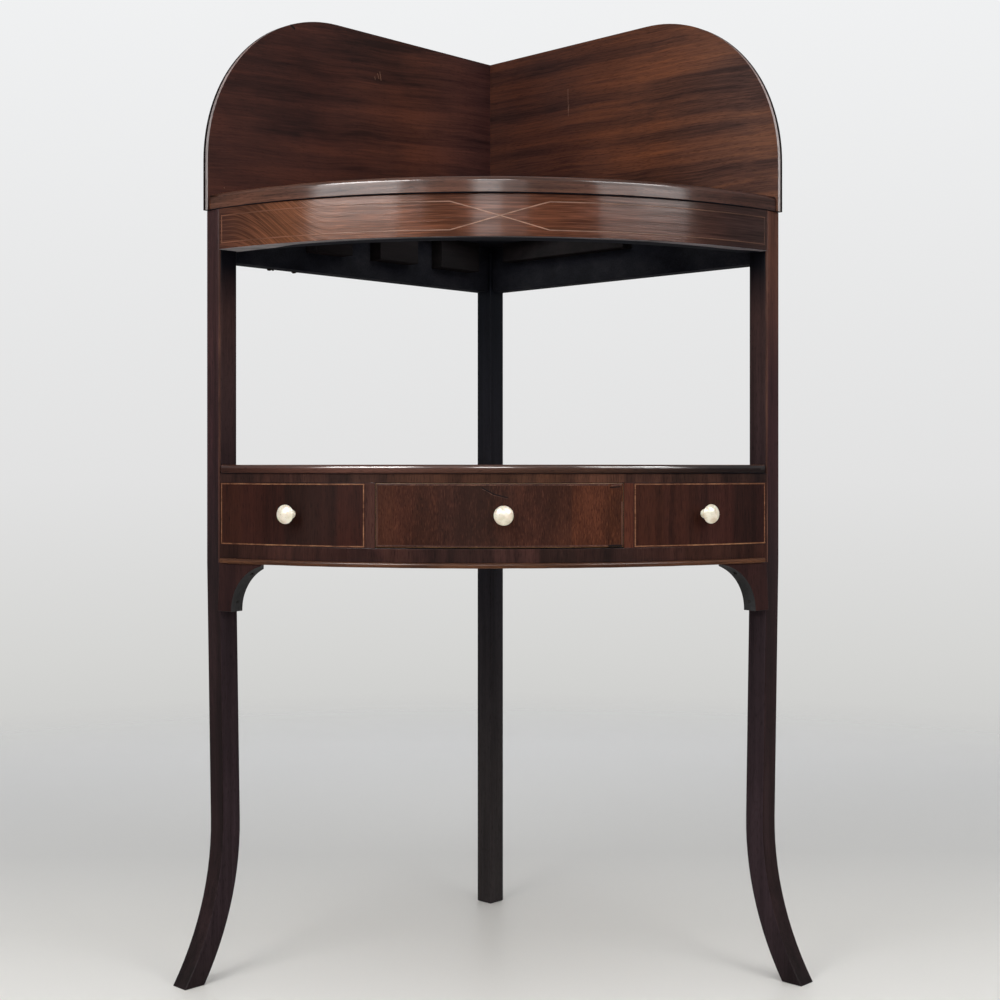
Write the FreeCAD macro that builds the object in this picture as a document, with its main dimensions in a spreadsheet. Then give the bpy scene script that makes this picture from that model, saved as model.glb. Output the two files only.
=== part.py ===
import FreeCAD, Part
import math
import os

import Sketcher

# Bow-front corner washstand: three square legs, a tier with one drawer between two dummy
# fronts, a bowed top with holes for a basin and two cups, and a two-board splashback.
#
# Axes: +Z up, the bowed front faces -Y, +X to the right. The origin is at the bottom centre
# of the whole stand. In plan the two sides lie at 45 degrees and meet at the rear leg.
#
# Plan sketches are drawn from the front line, the line through the outer corners of the two
# front legs. A point beside one of the sides is given by two distances: along, from the front
# leg's outer corner towards the rear, and inward, square to the side's outer face.

DIMENSIONS = [
    ("front_width", 600, "across the outer corners of the front legs"),
    ("leg_section", 22, "side of the square legs"),
    ("leg_top", 800, "height of the leg tops, which is the underside of the top"),
    ("knee_height", 165, "where the front legs start to sweep out"),
    ("knee_lean", 4.7, "how far the front legs lean in at the knee"),
    ("foot_splay", 42.4, "how far the foot stands out along the side"),
    ("foot_width", 24, "width of the foot on the floor"),
    ("string_width", 1.8, "width of the boxwood lines"),
    ("string_depth", 1.2, "depth of the boxwood lines"),
    ("bow_front", 114, "front line to the middle of the bowed front"),
    ("top_overhang", 6, "top past the bowed front"),
    ("top_thickness", 16, "thickness of the top"),
    ("top_arris", 5, "rounding of the top's front edge"),
    ("top_corner", 2, "front corners of the top behind the splashback's front edges"),
    ("basin_radius", 125, "basin hole"),
    ("basin_back", 65, "basin hole centre behind the front line"),
    ("cup_radius", 36, "cup holes"),
    ("cup_side", 190, "cup hole centre from the middle"),
    ("cup_back", 5, "cup hole centre behind the front line"),
    ("hole_arris", 2, "rounding of the holes' upper edges"),
    ("splash_thickness", 8.5, "thickness of the splashback boards"),
    ("splash_proud", 0.5, "splashback outside the legs"),
    ("splash_lead", 4.5, "splashback in front of the legs"),
    ("splash_height", 227, "height of the splashback boards"),
    ("ear_radius", 175, "rounded front ears of the splashback"),
    ("frieze_bottom", 757.5, "underside of the frieze"),
    ("frieze_thickness", 28, "thickness of the frieze"),
    ("upper_rail_bottom", 746, "underside of the upper side rails"),
    ("upper_rail_thickness", 18, "thickness of the upper side rails"),
    ("tenon_thickness", 8, "thickness of every tenon"),
    ("tenon_length", 8, "length of every tenon"),
    ("tenon_setback", 5, "tenon from the outer face of the leg"),
    ("tenon_root", 1.5, "how far a tenon's blank runs back into its rail"),
    ("tenon_shoulder", 6, "shoulder above and below the tenons of the side rails and the frieze"),
    ("rail_shoulder", 2, "shoulder above and below the tenons of the tier's bowed rails"),
    ("inlay_low", 764, "centre of the lower frieze line"),
    ("inlay_high", 792, "centre of the upper frieze line"),
    ("inlay_cross", 49, "half the width of the crossing"),
    ("inlay_end", 2, "end line of the frieze inlay from the leg"),
    ("block_height", 34, "height of the glue blocks"),
    ("block_depth", 18, "depth of the glue blocks"),
    ("batten_height", 22, "height of the glue batten"),
    ("batten_depth", 16, "depth of the glue batten"),
    ("batten_start", 184, "front end of the glue batten along the side"),
    ("batten_end", 54, "rear end of the glue batten from the rear corner"),
    ("tier_bottom", 433, "underside of the tier"),
    ("shelf_top", 534.5, "upper face of the shelf"),
    ("shelf_thickness", 9, "thickness of the shelf"),
    ("shelf_nosing", 4, "shelf past the bowed front"),
    ("nosing_round", 3.8, "rounding of the shelf's front edge"),
    ("tier_rail_thickness", 14, "thickness of the tier's side boards"),
    ("top_rail_height", 9, "height of the bowed rail above the drawer"),
    ("top_rail_depth", 30, "front to back of the bowed rail above the drawer"),
    ("low_rail_height", 19, "height of the bowed rail below the drawer"),
    ("low_rail_depth", 42, "front to back of the bowed rail below the drawer"),
    ("bead_height", 5, "height of the bead"),
    ("bead_proud", 3.4, "bead past the bowed front"),
    ("bead_chamfer", 1.2, "width of the slopes along the bead's upper and lower edges"),
    ("dummy_thickness", 16, "thickness of the dummy fronts"),
    ("drawer_shift", 4.5, "middle of the drawer and of the inlay crossing, right of the middle"),
    ("drawer_width", 245, "width of the drawer"),
    ("drawer_gap", 0.5, "clearance round the drawer front"),
    ("divider_width", 10, "width of the stiles beside the drawer"),
    ("divider_depth", 20, "depth of the stiles beside the drawer"),
    ("drawer_front_thickness", 20, "thickness of the drawer front"),
    ("drawer_back_y", 105, "rear face of the drawer behind the front line"),
    ("drawer_side_thickness", 8, "thickness of the drawer sides"),
    ("drawer_side_drop", 4, "drawer sides lower than the drawer front"),
    ("drawer_floor_lift", 5, "drawer bottom board above the drawer's lower edge"),
    ("drawer_floor_thickness", 5, "thickness of the drawer bottom board"),
    ("groove_depth", 4, "how far the drawer bottom board enters its grooves"),
    ("tail_length", 12, "length of the dovetails at the drawer front"),
    ("tail_height", 11, "height of a dovetail at its wide end"),
    ("tail_taper", 1.8, "how much a dovetail narrows on each edge"),
    ("tail_root", 0.5, "how far a dovetail's root lies inside its board"),
    ("side_bow", 3, "bow of the drawer front across the thickness of a drawer side"),
    ("string_inset", 0.8, "edge of a front to its boxwood line"),
    ("bottom_board_thickness", 8, "thickness of the board that closes the tier"),
    ("bottom_board_corner", 52, "front corners of that board along the side"),
    ("runner_width", 28, "width of the drawer runners"),
    ("runner_inside", 14, "runner edge inside the drawer's outer face"),
    ("runner_gap", 1, "runners, guides and kickers behind the bowed rails"),
    ("runner_back", 125, "rear ends of runners, guides and kickers behind the front line"),
    ("guide_width", 9, "width of the drawer guides"),
    ("guide_height", 12, "height of the drawer guides"),
    ("kicker_width", 20, "width of the strips above the drawer sides"),
    ("kicker_gap", 1, "clearance above the drawer sides"),
    ("stop_length", 25, "length of a drawer stop"),
    ("stop_height", 4, "height of a drawer stop"),
    ("stop_depth", 6, "depth of a drawer stop"),
    ("stop_side", 60, "drawer stops from the middle of the drawer"),
    ("stop_gap", 0.3, "drawer stops behind the drawer front"),
    ("knob_radius", 9.7, "radius of the knob heads"),
    ("knob_projection", 17, "how far a knob stands out"),
    ("knob_crown", 4.3, "height of the domed face of a knob"),
    ("knob_rim", 0.9, "thickness of a knob's rim"),
    ("knob_under", 3.6, "height of the tapered back of a knob's head"),
    ("knob_under_curve", 7, "radius of the tapered back of a knob's head"),
    ("knob_neck", 3.2, "radius of the knob's neck"),
    ("knob_foot", 4.6, "radius of the knob's foot"),
    ("knob_foot_edge", 0.8, "thickness of the edge of the knob's foot"),
    ("knob_foot_height", 3.4, "height of the knob's foot"),
    ("knob_foot_curve", 2.6, "radius of the hollow above the knob's foot"),
    ("spigot_radius", 2.8, "radius of the knob's spigot"),
    ("spigot_length", 11, "length of the knob's spigot"),
    ("spigot_gap", 0.15, "clearance of the spigot in its hole"),
    ("knob_height", 485, "height of the knob centres"),
    ("knob_left_x", -204, "knob of the left dummy front"),
    ("knob_right_x", 212, "knob of the right dummy front"),
    ("drawer_knob_aside", 3, "drawer knob right of the drawer's middle"),
    ("bracket_height", 50, "height of the brackets under the tier"),
    ("bracket_left_length", 58, "length of the left bracket along the bowed front"),
    ("bracket_right_length", 64, "length of the right bracket along the bowed front"),
    ("bracket_thickness", 17, "thickness of the brackets"),
    ("bracket_square", 30, "where the hollow edge is square to the front, along it from the leg"),
    ("hollow_radius", 48, "radius of the brackets' hollow edge"),
    ("hollow_along", 68, "axis of the hollow edge, along the front from the leg"),
    ("hollow_below", 48.5, "axis of the hollow edge below the tier"),
    ("nail_radius", 1.3, "radius of the bracket nails"),
    ("nail_length", 24, "length of the bracket nails"),
    ("nail_sink", 0.5, "bracket nails below the hollow edge"),
    ("nail_up_along", 38, "upright bracket nail, along the front from the leg"),
    ("nail_side_rise", 10, "sideways bracket nail above the bracket's lower end"),
    ("cut_nail_width", 2.6, "cut nails in the splashback, across"),
    ("cut_nail_height", 1.6, "cut nails in the splashback, upright"),
    ("cut_nail_length", 30, "cut nails in the splashback, length"),
    ("cut_nail_sink", 0.4, "cut nails below the surface"),
]

doc = FreeCAD.newDocument("corner_washstand")
sheet = doc.addObject("Spreadsheet::Sheet", "Dims")
for row, (alias, number, meaning) in enumerate(DIMENSIONS, start=1):
    sheet.set(f"A{row}", alias)
    sheet.set(f"B{row}", str(number))
    sheet.set(f"C{row}", meaning)
    sheet.setAlias(f"B{row}", alias)
doc.recompute()

parts = []


def dim(alias):
    """Name of a cell of the sheet, as other objects' expressions write it."""
    return f"Dims.{alias}"


def value(expression):
    """Number that an expression on the sheet's cells gives now."""
    return float(sheet.evalExpression(str(expression)))


def keep(item, label):
    """Name a finished sub-part and remember it for the export."""
    item.Label = label
    parts.append(item)
    return item


# Derived sizes, as expressions on the driving dimensions

HALF = "(Dims.front_width / 2)"
SIDE_LENGTH = f"({HALF} * sqrt(2))"
SLANT = "(1 / sqrt(2))"
LEG_HALF_DIAGONAL = "(Dims.leg_section / sqrt(2))"
ARRIS_X = f"({HALF} - {LEG_HALF_DIAGONAL})"
BOW_RISE = f"(Dims.bow_front - {LEG_HALF_DIAGONAL})"
BOW_RADIUS = f"(({ARRIS_X}^2 + {BOW_RISE}^2) / (2 * {BOW_RISE}))"
BOW_CENTRE = f"({BOW_RADIUS} - Dims.bow_front)"
PLAN_DEPTH_MIDDLE = (f"(({HALF} + Dims.splash_proud * sqrt(2)"
                     " - Dims.bow_front - Dims.knob_projection) / 2)")
SHELF_BOTTOM = "(Dims.shelf_top - Dims.shelf_thickness)"
DRAWER_SPACE_TOP = f"({SHELF_BOTTOM} - Dims.top_rail_height)"
DRAWER_SPACE_BOTTOM = "(Dims.tier_bottom + Dims.low_rail_height)"
DRAWER_LOW = f"({DRAWER_SPACE_BOTTOM} + Dims.drawer_gap)"
DRAWER_HIGH = f"({DRAWER_SPACE_TOP} - Dims.drawer_gap)"
DRAWER_HALF = "(Dims.drawer_width / 2)"
OPENING_HALF = f"({DRAWER_HALF} + Dims.drawer_gap)"
SIDE_TOP = f"({DRAWER_HIGH} - Dims.drawer_side_drop)"
FLOOR_LOW = f"({DRAWER_LOW} + Dims.drawer_floor_lift)"
FLOOR_HIGH = f"({FLOOR_LOW} + Dims.drawer_floor_thickness)"


def beside(along, inward, mirrored=False):
    """Plan point near a side, given from the front leg's outer corner."""
    x = f"(-{HALF} + {SLANT} * (({along}) + ({inward})))"
    y = f"({SLANT} * (({along}) - ({inward})))"
    if mirrored:
        x = f"(-{x})"
    return x, y


def on_bow(radius, x):
    """Plan point on a circle round the bow's centre, at a given x."""
    return x, f"({BOW_CENTRE} - sqrt(({radius})^2 - ({x})^2))"


def at_leg(radius, mirrored=False):
    """Plan point where a circle round the bow's centre meets the front leg's inner face."""
    total = f"({ARRIS_X} + {LEG_HALF_DIAGONAL} + {BOW_CENTRE})"
    squares = f"({ARRIS_X}^2 + ({LEG_HALF_DIAGONAL} + {BOW_CENTRE})^2 - ({radius})^2)"
    step = f"(({total} - sqrt({total}^2 - 2 * {squares})) / 2)"
    x = f"(-{ARRIS_X} + {step})"
    if mirrored:
        x = f"(-{x})"
    return x, f"({step} - {LEG_HALF_DIAGONAL})"


def bow_x(along):
    """x of a point of the bowed front, at a distance along it from the left leg."""
    return f"(-{BOW_RADIUS} * sin(asin({ARRIS_X} / {BOW_RADIUS}) - ({along}) / {BOW_RADIUS} * 1 rad))"


def vector(point):
    """Numbers of a plan or elevation point."""
    return FreeCAD.Vector(value(point[0]), value(point[1]), 0)


# Sketches and bodies

def new_body(name):
    """Empty body."""
    return doc.addObject("PartDesign::Body", name)


def new_sketch(body, role, name):
    """Sketch on one of the body's own origin planes."""
    sketch = body.newObject("Sketcher::SketchObject", name)
    plane = next(feature for feature in body.Origin.OriginFeatures if feature.Role == role)
    sketch.AttachmentSupport = [(plane, "")]
    sketch.MapMode = "FlatFace"
    return sketch


def fix_point(sketch, edge, end, point):
    """Hold one end of an edge at a point given by expressions."""
    place = vector(point)
    for kind, number, expression in (("DistanceX", place.x, point[0]), ("DistanceY", place.y, point[1])):
        index = sketch.addConstraint(Sketcher.Constraint(kind, -1, 1, edge, end, number))
        sketch.setExpression(f"Constraints[{index}]", expression)


def arc_between(start, finish, radius, bulge):
    """Arc from start to finish; bulge 1 has its centre on the left of the way, -1 on the right."""
    chord = finish - start
    half = chord.Length / 2
    left = FreeCAD.Vector(-chord.y, chord.x, 0).normalize()
    centre = (start + finish) * 0.5 + left * (bulge * math.sqrt(max(radius ** 2 - half ** 2, 0)))
    first, last = (start, finish) if bulge > 0 else (finish, start)
    angle_first = math.atan2(first.y - centre.y, first.x - centre.x)
    angle_last = math.atan2(last.y - centre.y, last.x - centre.x)
    if angle_last < angle_first:
        angle_last += 2 * math.pi
    circle = Part.Circle(centre, FreeCAD.Vector(0, 0, 1), radius)
    return Part.ArcOfCircle(circle, angle_first, angle_last)


def draw_outline(sketch, corners, arcs=None):
    """Closed outline through corners; arcs gives an edge's radius expression and bulge."""
    arcs = arcs or {}
    ends = []
    for index, corner in enumerate(corners):
        start = vector(corner)
        finish = vector(corners[(index + 1) % len(corners)])
        if index in arcs:
            radius, bulge = arcs[index]
            edge = sketch.addGeometry(arc_between(start, finish, value(radius), bulge), False)
            ends.append((edge, 1, 2) if bulge > 0 else (edge, 2, 1))
        else:
            edge = sketch.addGeometry(Part.LineSegment(start, finish), False)
            ends.append((edge, 1, 2))
    for index, corner in enumerate(corners):
        edge, start_end, _ = ends[index]
        previous, _, finish_end = ends[index - 1]
        sketch.addConstraint(Sketcher.Constraint("Coincident", previous, finish_end, edge, start_end))
        fix_point(sketch, edge, start_end, corner)
    for index, (radius, _) in arcs.items():
        edge = ends[index][0]
        number = sketch.addConstraint(Sketcher.Constraint("Radius", edge, value(radius)))
        sketch.setExpression(f"Constraints[{number}]", radius)


def draw_circle(sketch, centre, radius):
    """Circle with its centre and radius held by expressions."""
    circle = Part.Circle(vector(centre), FreeCAD.Vector(0, 0, 1), value(radius))
    edge = sketch.addGeometry(circle, False)
    fix_point(sketch, edge, 3, centre)
    number = sketch.addConstraint(Sketcher.Constraint("Radius", edge, value(radius)))
    sketch.setExpression(f"Constraints[{number}]", radius)


def pad(body, sketch, length, name):
    """Pad of a sketch by a length expression."""
    feature = body.newObject("PartDesign::Pad", name)
    feature.Profile = sketch
    feature.setExpression("Length", length)
    sketch.Visibility = False
    return feature


def lift(item, height):
    """Place a piece drawn in plan: from the front line, with its lower face at a height."""
    item.setExpression(".Placement.Base.y", f"-{PLAN_DEPTH_MIDDLE}")
    item.setExpression(".Placement.Base.z", height)


def plan_board(name, corners, arcs, low, thickness):
    """Board with a plan outline, raised from low by its thickness."""
    body = new_body(name)
    sketch = new_sketch(body, "XY_Plane", f"{name}_plan")
    draw_outline(sketch, corners, arcs)
    pad(body, sketch, thickness, f"{name}_pad")
    lift(body, low)
    return body


def bow_board(name, radius, depth, low, high, left="leg", right="leg"):
    """Bowed board from low to high; an end lies on a leg's face or at a given x."""
    inner = f"({radius} - {depth})"
    front_left = at_leg(radius) if left == "leg" else on_bow(radius, left)
    back_left = at_leg(inner) if left == "leg" else on_bow(inner, left)
    front_right = at_leg(radius, True) if right == "leg" else on_bow(radius, right)
    back_right = at_leg(inner, True) if right == "leg" else on_bow(inner, right)
    corners = [front_left, front_right, back_right, back_left]
    return plan_board(name, corners, {0: (radius, 1), 2: (inner, -1)}, low, f"({high}) - ({low})")


def elevation_strip(body, name, corners):
    """Pad of a front-view outline, right through the stand from front to back."""
    sketch = new_sketch(body, "XZ_Plane", f"{name}_outline")
    draw_outline(sketch, corners)
    return pad(body, sketch, "Dims.front_width", f"{name}_pad")


def place_on_left(item, along, inward, low, turn=45):
    """Set a piece with its own X along the left side and its own Y outward."""
    x, y = beside(along, inward)
    item.Placement = FreeCAD.Placement(FreeCAD.Vector(), FreeCAD.Rotation(turn, 0, 0))
    item.setExpression(".Placement.Base.x", x)
    item.setExpression(".Placement.Base.y", f"{y} - {PLAN_DEPTH_MIDDLE}")
    item.setExpression(".Placement.Base.z", low)


def left_box(name, along, inward, low, high):
    """Box beside the left side; along, inward are (from, to) pairs of expressions."""
    box = doc.addObject("Part::Box", name)
    box.setExpression("Length", f"({along[1]}) - ({along[0]})")
    box.setExpression("Width", f"({inward[1]}) - ({inward[0]})")
    box.setExpression("Height", f"({high}) - ({low})")
    place_on_left(box, along[0], inward[1], low)
    return box


def straight_box(name, across, back, low, high):
    """Box square to the front; across is (from, to) in x, back is (from, to) behind the front line."""
    box = doc.addObject("Part::Box", name)
    box.setExpression("Length", f"({across[1]}) - ({across[0]})")
    box.setExpression("Width", f"({back[1]}) - ({back[0]})")
    box.setExpression("Height", f"({high}) - ({low})")
    box.setExpression(".Placement.Base.x", across[0])
    box.setExpression(".Placement.Base.y", f"({back[0]}) - {PLAN_DEPTH_MIDDLE}")
    box.setExpression(".Placement.Base.z", low)
    return box


FACE_OUT = FreeCAD.Rotation(FreeCAD.Vector(1, 0, 0), 90)
FACE_LEFT = FreeCAD.Rotation(FreeCAD.Vector(0, 1, 0), -90)
FACE_UP = FreeCAD.Rotation()


def set_on_bow(item, x, height, facing, aside="0", inward="0"):
    """Place a piece on the bowed front at x, then move it along the tangent and inward.

    facing turns the piece's own Z axis before the piece is turned with the front.
    """
    sine = f"(({x}) / {BOW_RADIUS})"
    cosine = f"sqrt(1 - {sine}^2)"
    radius = f"({BOW_RADIUS} - ({inward}))"
    turn = FreeCAD.Rotation(math.degrees(math.asin(value(sine))), 0, 0)
    item.Placement = FreeCAD.Placement(FreeCAD.Vector(), turn.multiply(facing))
    item.setExpression(".Placement.Base.x", f"{radius} * {sine} + ({aside}) * {cosine}")
    item.setExpression(".Placement.Base.y",
                       f"{BOW_CENTRE} - {radius} * {cosine} + ({aside}) * {sine} - {PLAN_DEPTH_MIDDLE}")
    item.setExpression(".Placement.Base.z", height)


def cylinder(name, radius, height):
    """Cylinder on its own Z axis."""
    item = doc.addObject("Part::Cylinder", name)
    item.setExpression("Radius", radius)
    item.setExpression("Height", height)
    return item


def cut(name, base, tool):
    """Base with the tool's space taken out."""
    item = doc.addObject("Part::Cut", name)
    item.Base = base
    item.Tool = tool
    return item


def fuse(name, items):
    """Items joined into one."""
    item = doc.addObject("Part::MultiFuse", name)
    item.Shapes = items
    return item


def common(name, base, tool):
    """Space that base and tool share."""
    item = doc.addObject("Part::Common", name)
    item.Base = base
    item.Tool = tool
    return item


def group(name, items):
    """Items kept as separate solids in one node."""
    item = doc.addObject("Part::Compound", name)
    item.Links = items
    return item


def mirror(name, source):
    """The same piece on the other side of the stand."""
    item = doc.addObject("Part::Mirroring", name)
    item.Source = source
    item.Base = FreeCAD.Vector(0, 0, 0)
    item.Normal = FreeCAD.Vector(1, 0, 0)
    return item


def round_edges(body, name, wanted, radius):
    """Fillet of the body's edges that a test picks."""
    doc.recompute()
    base = body.Tip
    names = [f"Edge{number}" for number, edge in enumerate(base.Shape.Edges, start=1) if wanted(edge)]
    feature = body.newObject("PartDesign::Fillet", name)
    feature.Base = (base, names)
    feature.setExpression("Radius", radius)
    return feature


def is_arc_of(edge, radius, height):
    """Whether an edge is an arc of this radius, level at this height in its body."""
    curve = edge.Curve
    if not isinstance(curve, Part.Circle) or abs(curve.Radius - value(radius)) > 0.01:
        return False
    return all(abs(vertex.Point.z - value(height)) < 0.01 for vertex in edge.Vertexes)


# Tenons, shared by the rails that carry them and the legs that take them

def side_tenon(name, rail_low, rail_high, at_rear):
    """Tenon on one end of a left side rail."""
    front = ("Dims.leg_section - Dims.tenon_length", "Dims.leg_section + Dims.tenon_root")
    rear = (f"{SIDE_LENGTH} - Dims.leg_section - Dims.tenon_root",
            f"{SIDE_LENGTH} - Dims.leg_section + Dims.tenon_length")
    inward = ("Dims.tenon_setback", "Dims.tenon_setback + Dims.tenon_thickness")
    return left_box(name, rear if at_rear else front, inward,
                    f"{rail_low} + Dims.tenon_shoulder", f"{rail_high} - Dims.tenon_shoulder")


def bow_tenon(name, low, high):
    """Tenon on the left end of a bowed rail, square to the leg's inner face."""
    along = ("Dims.tenon_setback", "Dims.tenon_setback + Dims.tenon_thickness")
    inward = ("Dims.leg_section - Dims.tenon_length", "Dims.leg_section + Dims.tenon_root")
    return left_box(name, along, inward, low, high)


upper_tenons = [side_tenon(f"upper_tenon_{end}", dim("upper_rail_bottom"), dim("leg_top"), end == "rear")
                for end in ("front", "rear")]
tier_tenons = [side_tenon(f"tier_tenon_{end}", dim("tier_bottom"), SHELF_BOTTOM, end == "rear")
               for end in ("front", "rear")]
frieze_tenon = bow_tenon("frieze_tenon", "Dims.frieze_bottom + Dims.tenon_shoulder",
                         "Dims.leg_top - Dims.tenon_shoulder")
top_rail_tenon = bow_tenon("top_rail_tenon", f"{DRAWER_SPACE_TOP} + Dims.rail_shoulder",
                           f"{SHELF_BOTTOM} - Dims.rail_shoulder")
low_rail_tenon = bow_tenon("low_rail_tenon", "Dims.tier_bottom + Dims.rail_shoulder",
                           f"{DRAWER_SPACE_BOTTOM} - Dims.rail_shoulder")

# Bracket nails, shared by the brackets and the pieces that the nails enter

HOLLOW_HEIGHT = "(Dims.tier_bottom - Dims.hollow_below)"
BRACKET_LOW = "(Dims.tier_bottom - Dims.bracket_height)"
BRACKET_X = bow_x("Dims.bracket_square")
NAIL_UP_LOW = (f"({HOLLOW_HEIGHT} + sqrt(Dims.hollow_radius^2"
               " - (Dims.hollow_along - Dims.nail_up_along)^2) + Dims.nail_sink)")
NAIL_SIDE_HEIGHT = f"({BRACKET_LOW} + Dims.nail_side_rise)"
NAIL_SIDE_START = (f"(Dims.hollow_along - sqrt(Dims.hollow_radius^2"
                   f" - ({NAIL_SIDE_HEIGHT} - {HOLLOW_HEIGHT})^2) - Dims.nail_sink)")


def bracket_nails(name, before):
    """Upright and sideways nail of the left bracket, starting this much before the nail heads."""
    length = f"Dims.nail_length + ({before})"
    middle = "Dims.bracket_thickness / 2"
    upright = cylinder(f"{name}_up", "Dims.nail_radius", length)
    set_on_bow(upright, BRACKET_X, f"{NAIL_UP_LOW} - ({before})", FACE_UP,
               "Dims.nail_up_along - Dims.bracket_square", middle)
    sideways = cylinder(f"{name}_side", "Dims.nail_radius", length)
    set_on_bow(sideways, BRACKET_X, NAIL_SIDE_HEIGHT, FACE_LEFT,
               f"{NAIL_SIDE_START} + ({before}) - Dims.bracket_square", middle)
    return upright, sideways


nail_up, nail_side = bracket_nails("bracket_nail", "0")
nail_holes = group("bracket_nail_holes", list(bracket_nails("bracket_nail_hole", "Dims.nail_length / 2")))

# Front legs: one outline in the plane of the side, as thick as the leg is wide

LEAN_ANGLE = "atan(Dims.knee_lean / (Dims.tier_bottom - Dims.knee_height))"


def sweep_radius(start_x, foot_x):
    """Radius of the foot's curve, which leaves the leaning shank without a corner."""
    across = f"(({start_x}) - ({foot_x}))"
    chord = f"sqrt({across}^2 + Dims.knee_height^2)"
    return f"({chord} / (2 * sin({LEAN_ANGLE} + atan({across} / Dims.knee_height))))"


front_knee = "Dims.knee_lean"
rear_knee = "Dims.knee_lean + Dims.leg_section"
toe = "-Dims.foot_splay"
heel = "-Dims.foot_splay + Dims.foot_width"
leg_corners = [
    ("0", "Dims.leg_top"),
    ("0", "Dims.tier_bottom"),
    (front_knee, "Dims.knee_height"),
    (toe, "0"),
    (heel, "0"),
    (rear_knee, "Dims.knee_height"),
    ("Dims.leg_section", "Dims.tier_bottom"),
    ("Dims.leg_section", "Dims.leg_top"),
]
leg_body = new_body("leg_blank")
leg_sketch = new_sketch(leg_body, "XZ_Plane", "leg_side_view")
draw_outline(leg_sketch, leg_corners, {2: (sweep_radius(front_knee, toe), -1),
                                       4: (sweep_radius(rear_knee, heel), 1)})
pad(leg_body, leg_sketch, "Dims.leg_section", "leg_pad")
place_on_left(leg_body, "0", "0", "0")

arris = ("Dims.leg_section - Dims.string_width", "Dims.leg_section")
leg_string = left_box("leg_string", ("0", "Dims.string_width"), arris, dim("tier_bottom"), dim("leg_top"))
leg_cutters = group("leg_cutters", [upper_tenons[0], tier_tenons[0], frieze_tenon,
                                    top_rail_tenon, low_rail_tenon, leg_string, nail_side])
front_leg = keep(cut("front_leg_left", leg_body, leg_cutters), "front_leg_left")
keep(mirror("front_leg_right", front_leg), "front_leg_right")
keep(leg_string, "leg_stringing_left")
keep(mirror("leg_stringing_right", leg_string), "leg_stringing_right")

rear_post = left_box("rear_post", (f"{SIDE_LENGTH} - Dims.leg_section", SIDE_LENGTH),
                     ("0", "Dims.leg_section"), "0", dim("leg_top"))
rear_tenons = group("rear_tenons", [upper_tenons[1], tier_tenons[1]])
rear_left_cut = cut("rear_post_left_mortises", rear_post, rear_tenons)
keep(cut("rear_leg", rear_left_cut, mirror("rear_tenons_right", rear_tenons)), "rear_leg")

# Side rails, the same on both sides


def side_rail(name, thickness, low, high, tenons):
    """Left and right rails between a front leg and the rear leg, tenoned at both ends."""
    board = left_box(f"{name}_board", ("Dims.leg_section", f"{SIDE_LENGTH} - Dims.leg_section"),
                     ("0", thickness), low, high)
    rail = keep(fuse(f"{name}_left", [board] + tenons), f"{name}_left")
    keep(mirror(f"{name}_right", rail), f"{name}_right")


side_rail("upper_side_rail", dim("upper_rail_thickness"), dim("upper_rail_bottom"), dim("leg_top"),
          upper_tenons)
side_rail("tier_side_rail", dim("tier_rail_thickness"), dim("tier_bottom"), SHELF_BOTTOM, tier_tenons)

# Bowed frieze with its inlay: two lines that cross right of the middle

string_half = "(Dims.string_width / 2)"
inlay_left = f"(-{ARRIS_X} + Dims.inlay_end)"
inlay_right = f"({ARRIS_X} - Dims.inlay_end)"
cross_left = "(Dims.drawer_shift - Dims.inlay_cross)"
cross_right = "(Dims.drawer_shift + Dims.inlay_cross)"


def crossing_line(start, finish):
    """Corners of a line that runs level, crosses to the other height and runs level again."""
    low_edge = [(inlay_left, f"{start} - {string_half}"), (cross_left, f"{start} - {string_half}"),
                (cross_right, f"{finish} - {string_half}"), (inlay_right, f"{finish} - {string_half}")]
    high_edge = [(inlay_right, f"{finish} + {string_half}"), (cross_right, f"{finish} + {string_half}"),
                 (cross_left, f"{start} + {string_half}"), (inlay_left, f"{start} + {string_half}")]
    return low_edge + high_edge


def upright_line(left, right, low, high):
    """Corners of an upright line."""
    return [(left, low), (right, low), (right, high), (left, high)]


inlay_body = new_body("frieze_inlay_pattern")
elevation_strip(inlay_body, "inlay_rising", crossing_line(dim("inlay_low"), dim("inlay_high")))
elevation_strip(inlay_body, "inlay_falling", crossing_line(dim("inlay_high"), dim("inlay_low")))
for end, left_edge, right_edge in (("left", inlay_left, f"{inlay_left} + Dims.string_width"),
                                   ("right", f"{inlay_right} - Dims.string_width", inlay_right)):
    elevation_strip(inlay_body, f"inlay_end_{end}",
                    upright_line(left_edge, right_edge, dim("inlay_low"), dim("inlay_high")))
inlay_body.Placement = FreeCAD.Placement(FreeCAD.Vector(0, value(HALF), 0), FreeCAD.Rotation())
inlay_skin = bow_board("frieze_inlay_skin", BOW_RADIUS, dim("string_depth"), dim("frieze_bottom"),
                       dim("leg_top"))
frieze_string = keep(common("frieze_stringing", inlay_skin, inlay_body), "frieze_stringing")

frieze_board = bow_board("frieze_board", BOW_RADIUS, dim("frieze_thickness"), dim("frieze_bottom"),
                         dim("leg_top"))
frieze_blank = fuse("frieze_blank", [frieze_board, frieze_tenon, mirror("frieze_tenon_right", frieze_tenon)])
keep(cut("frieze_rail", frieze_blank, frieze_string), "frieze_rail")

# Top with its basin hole and cup holes

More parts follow.
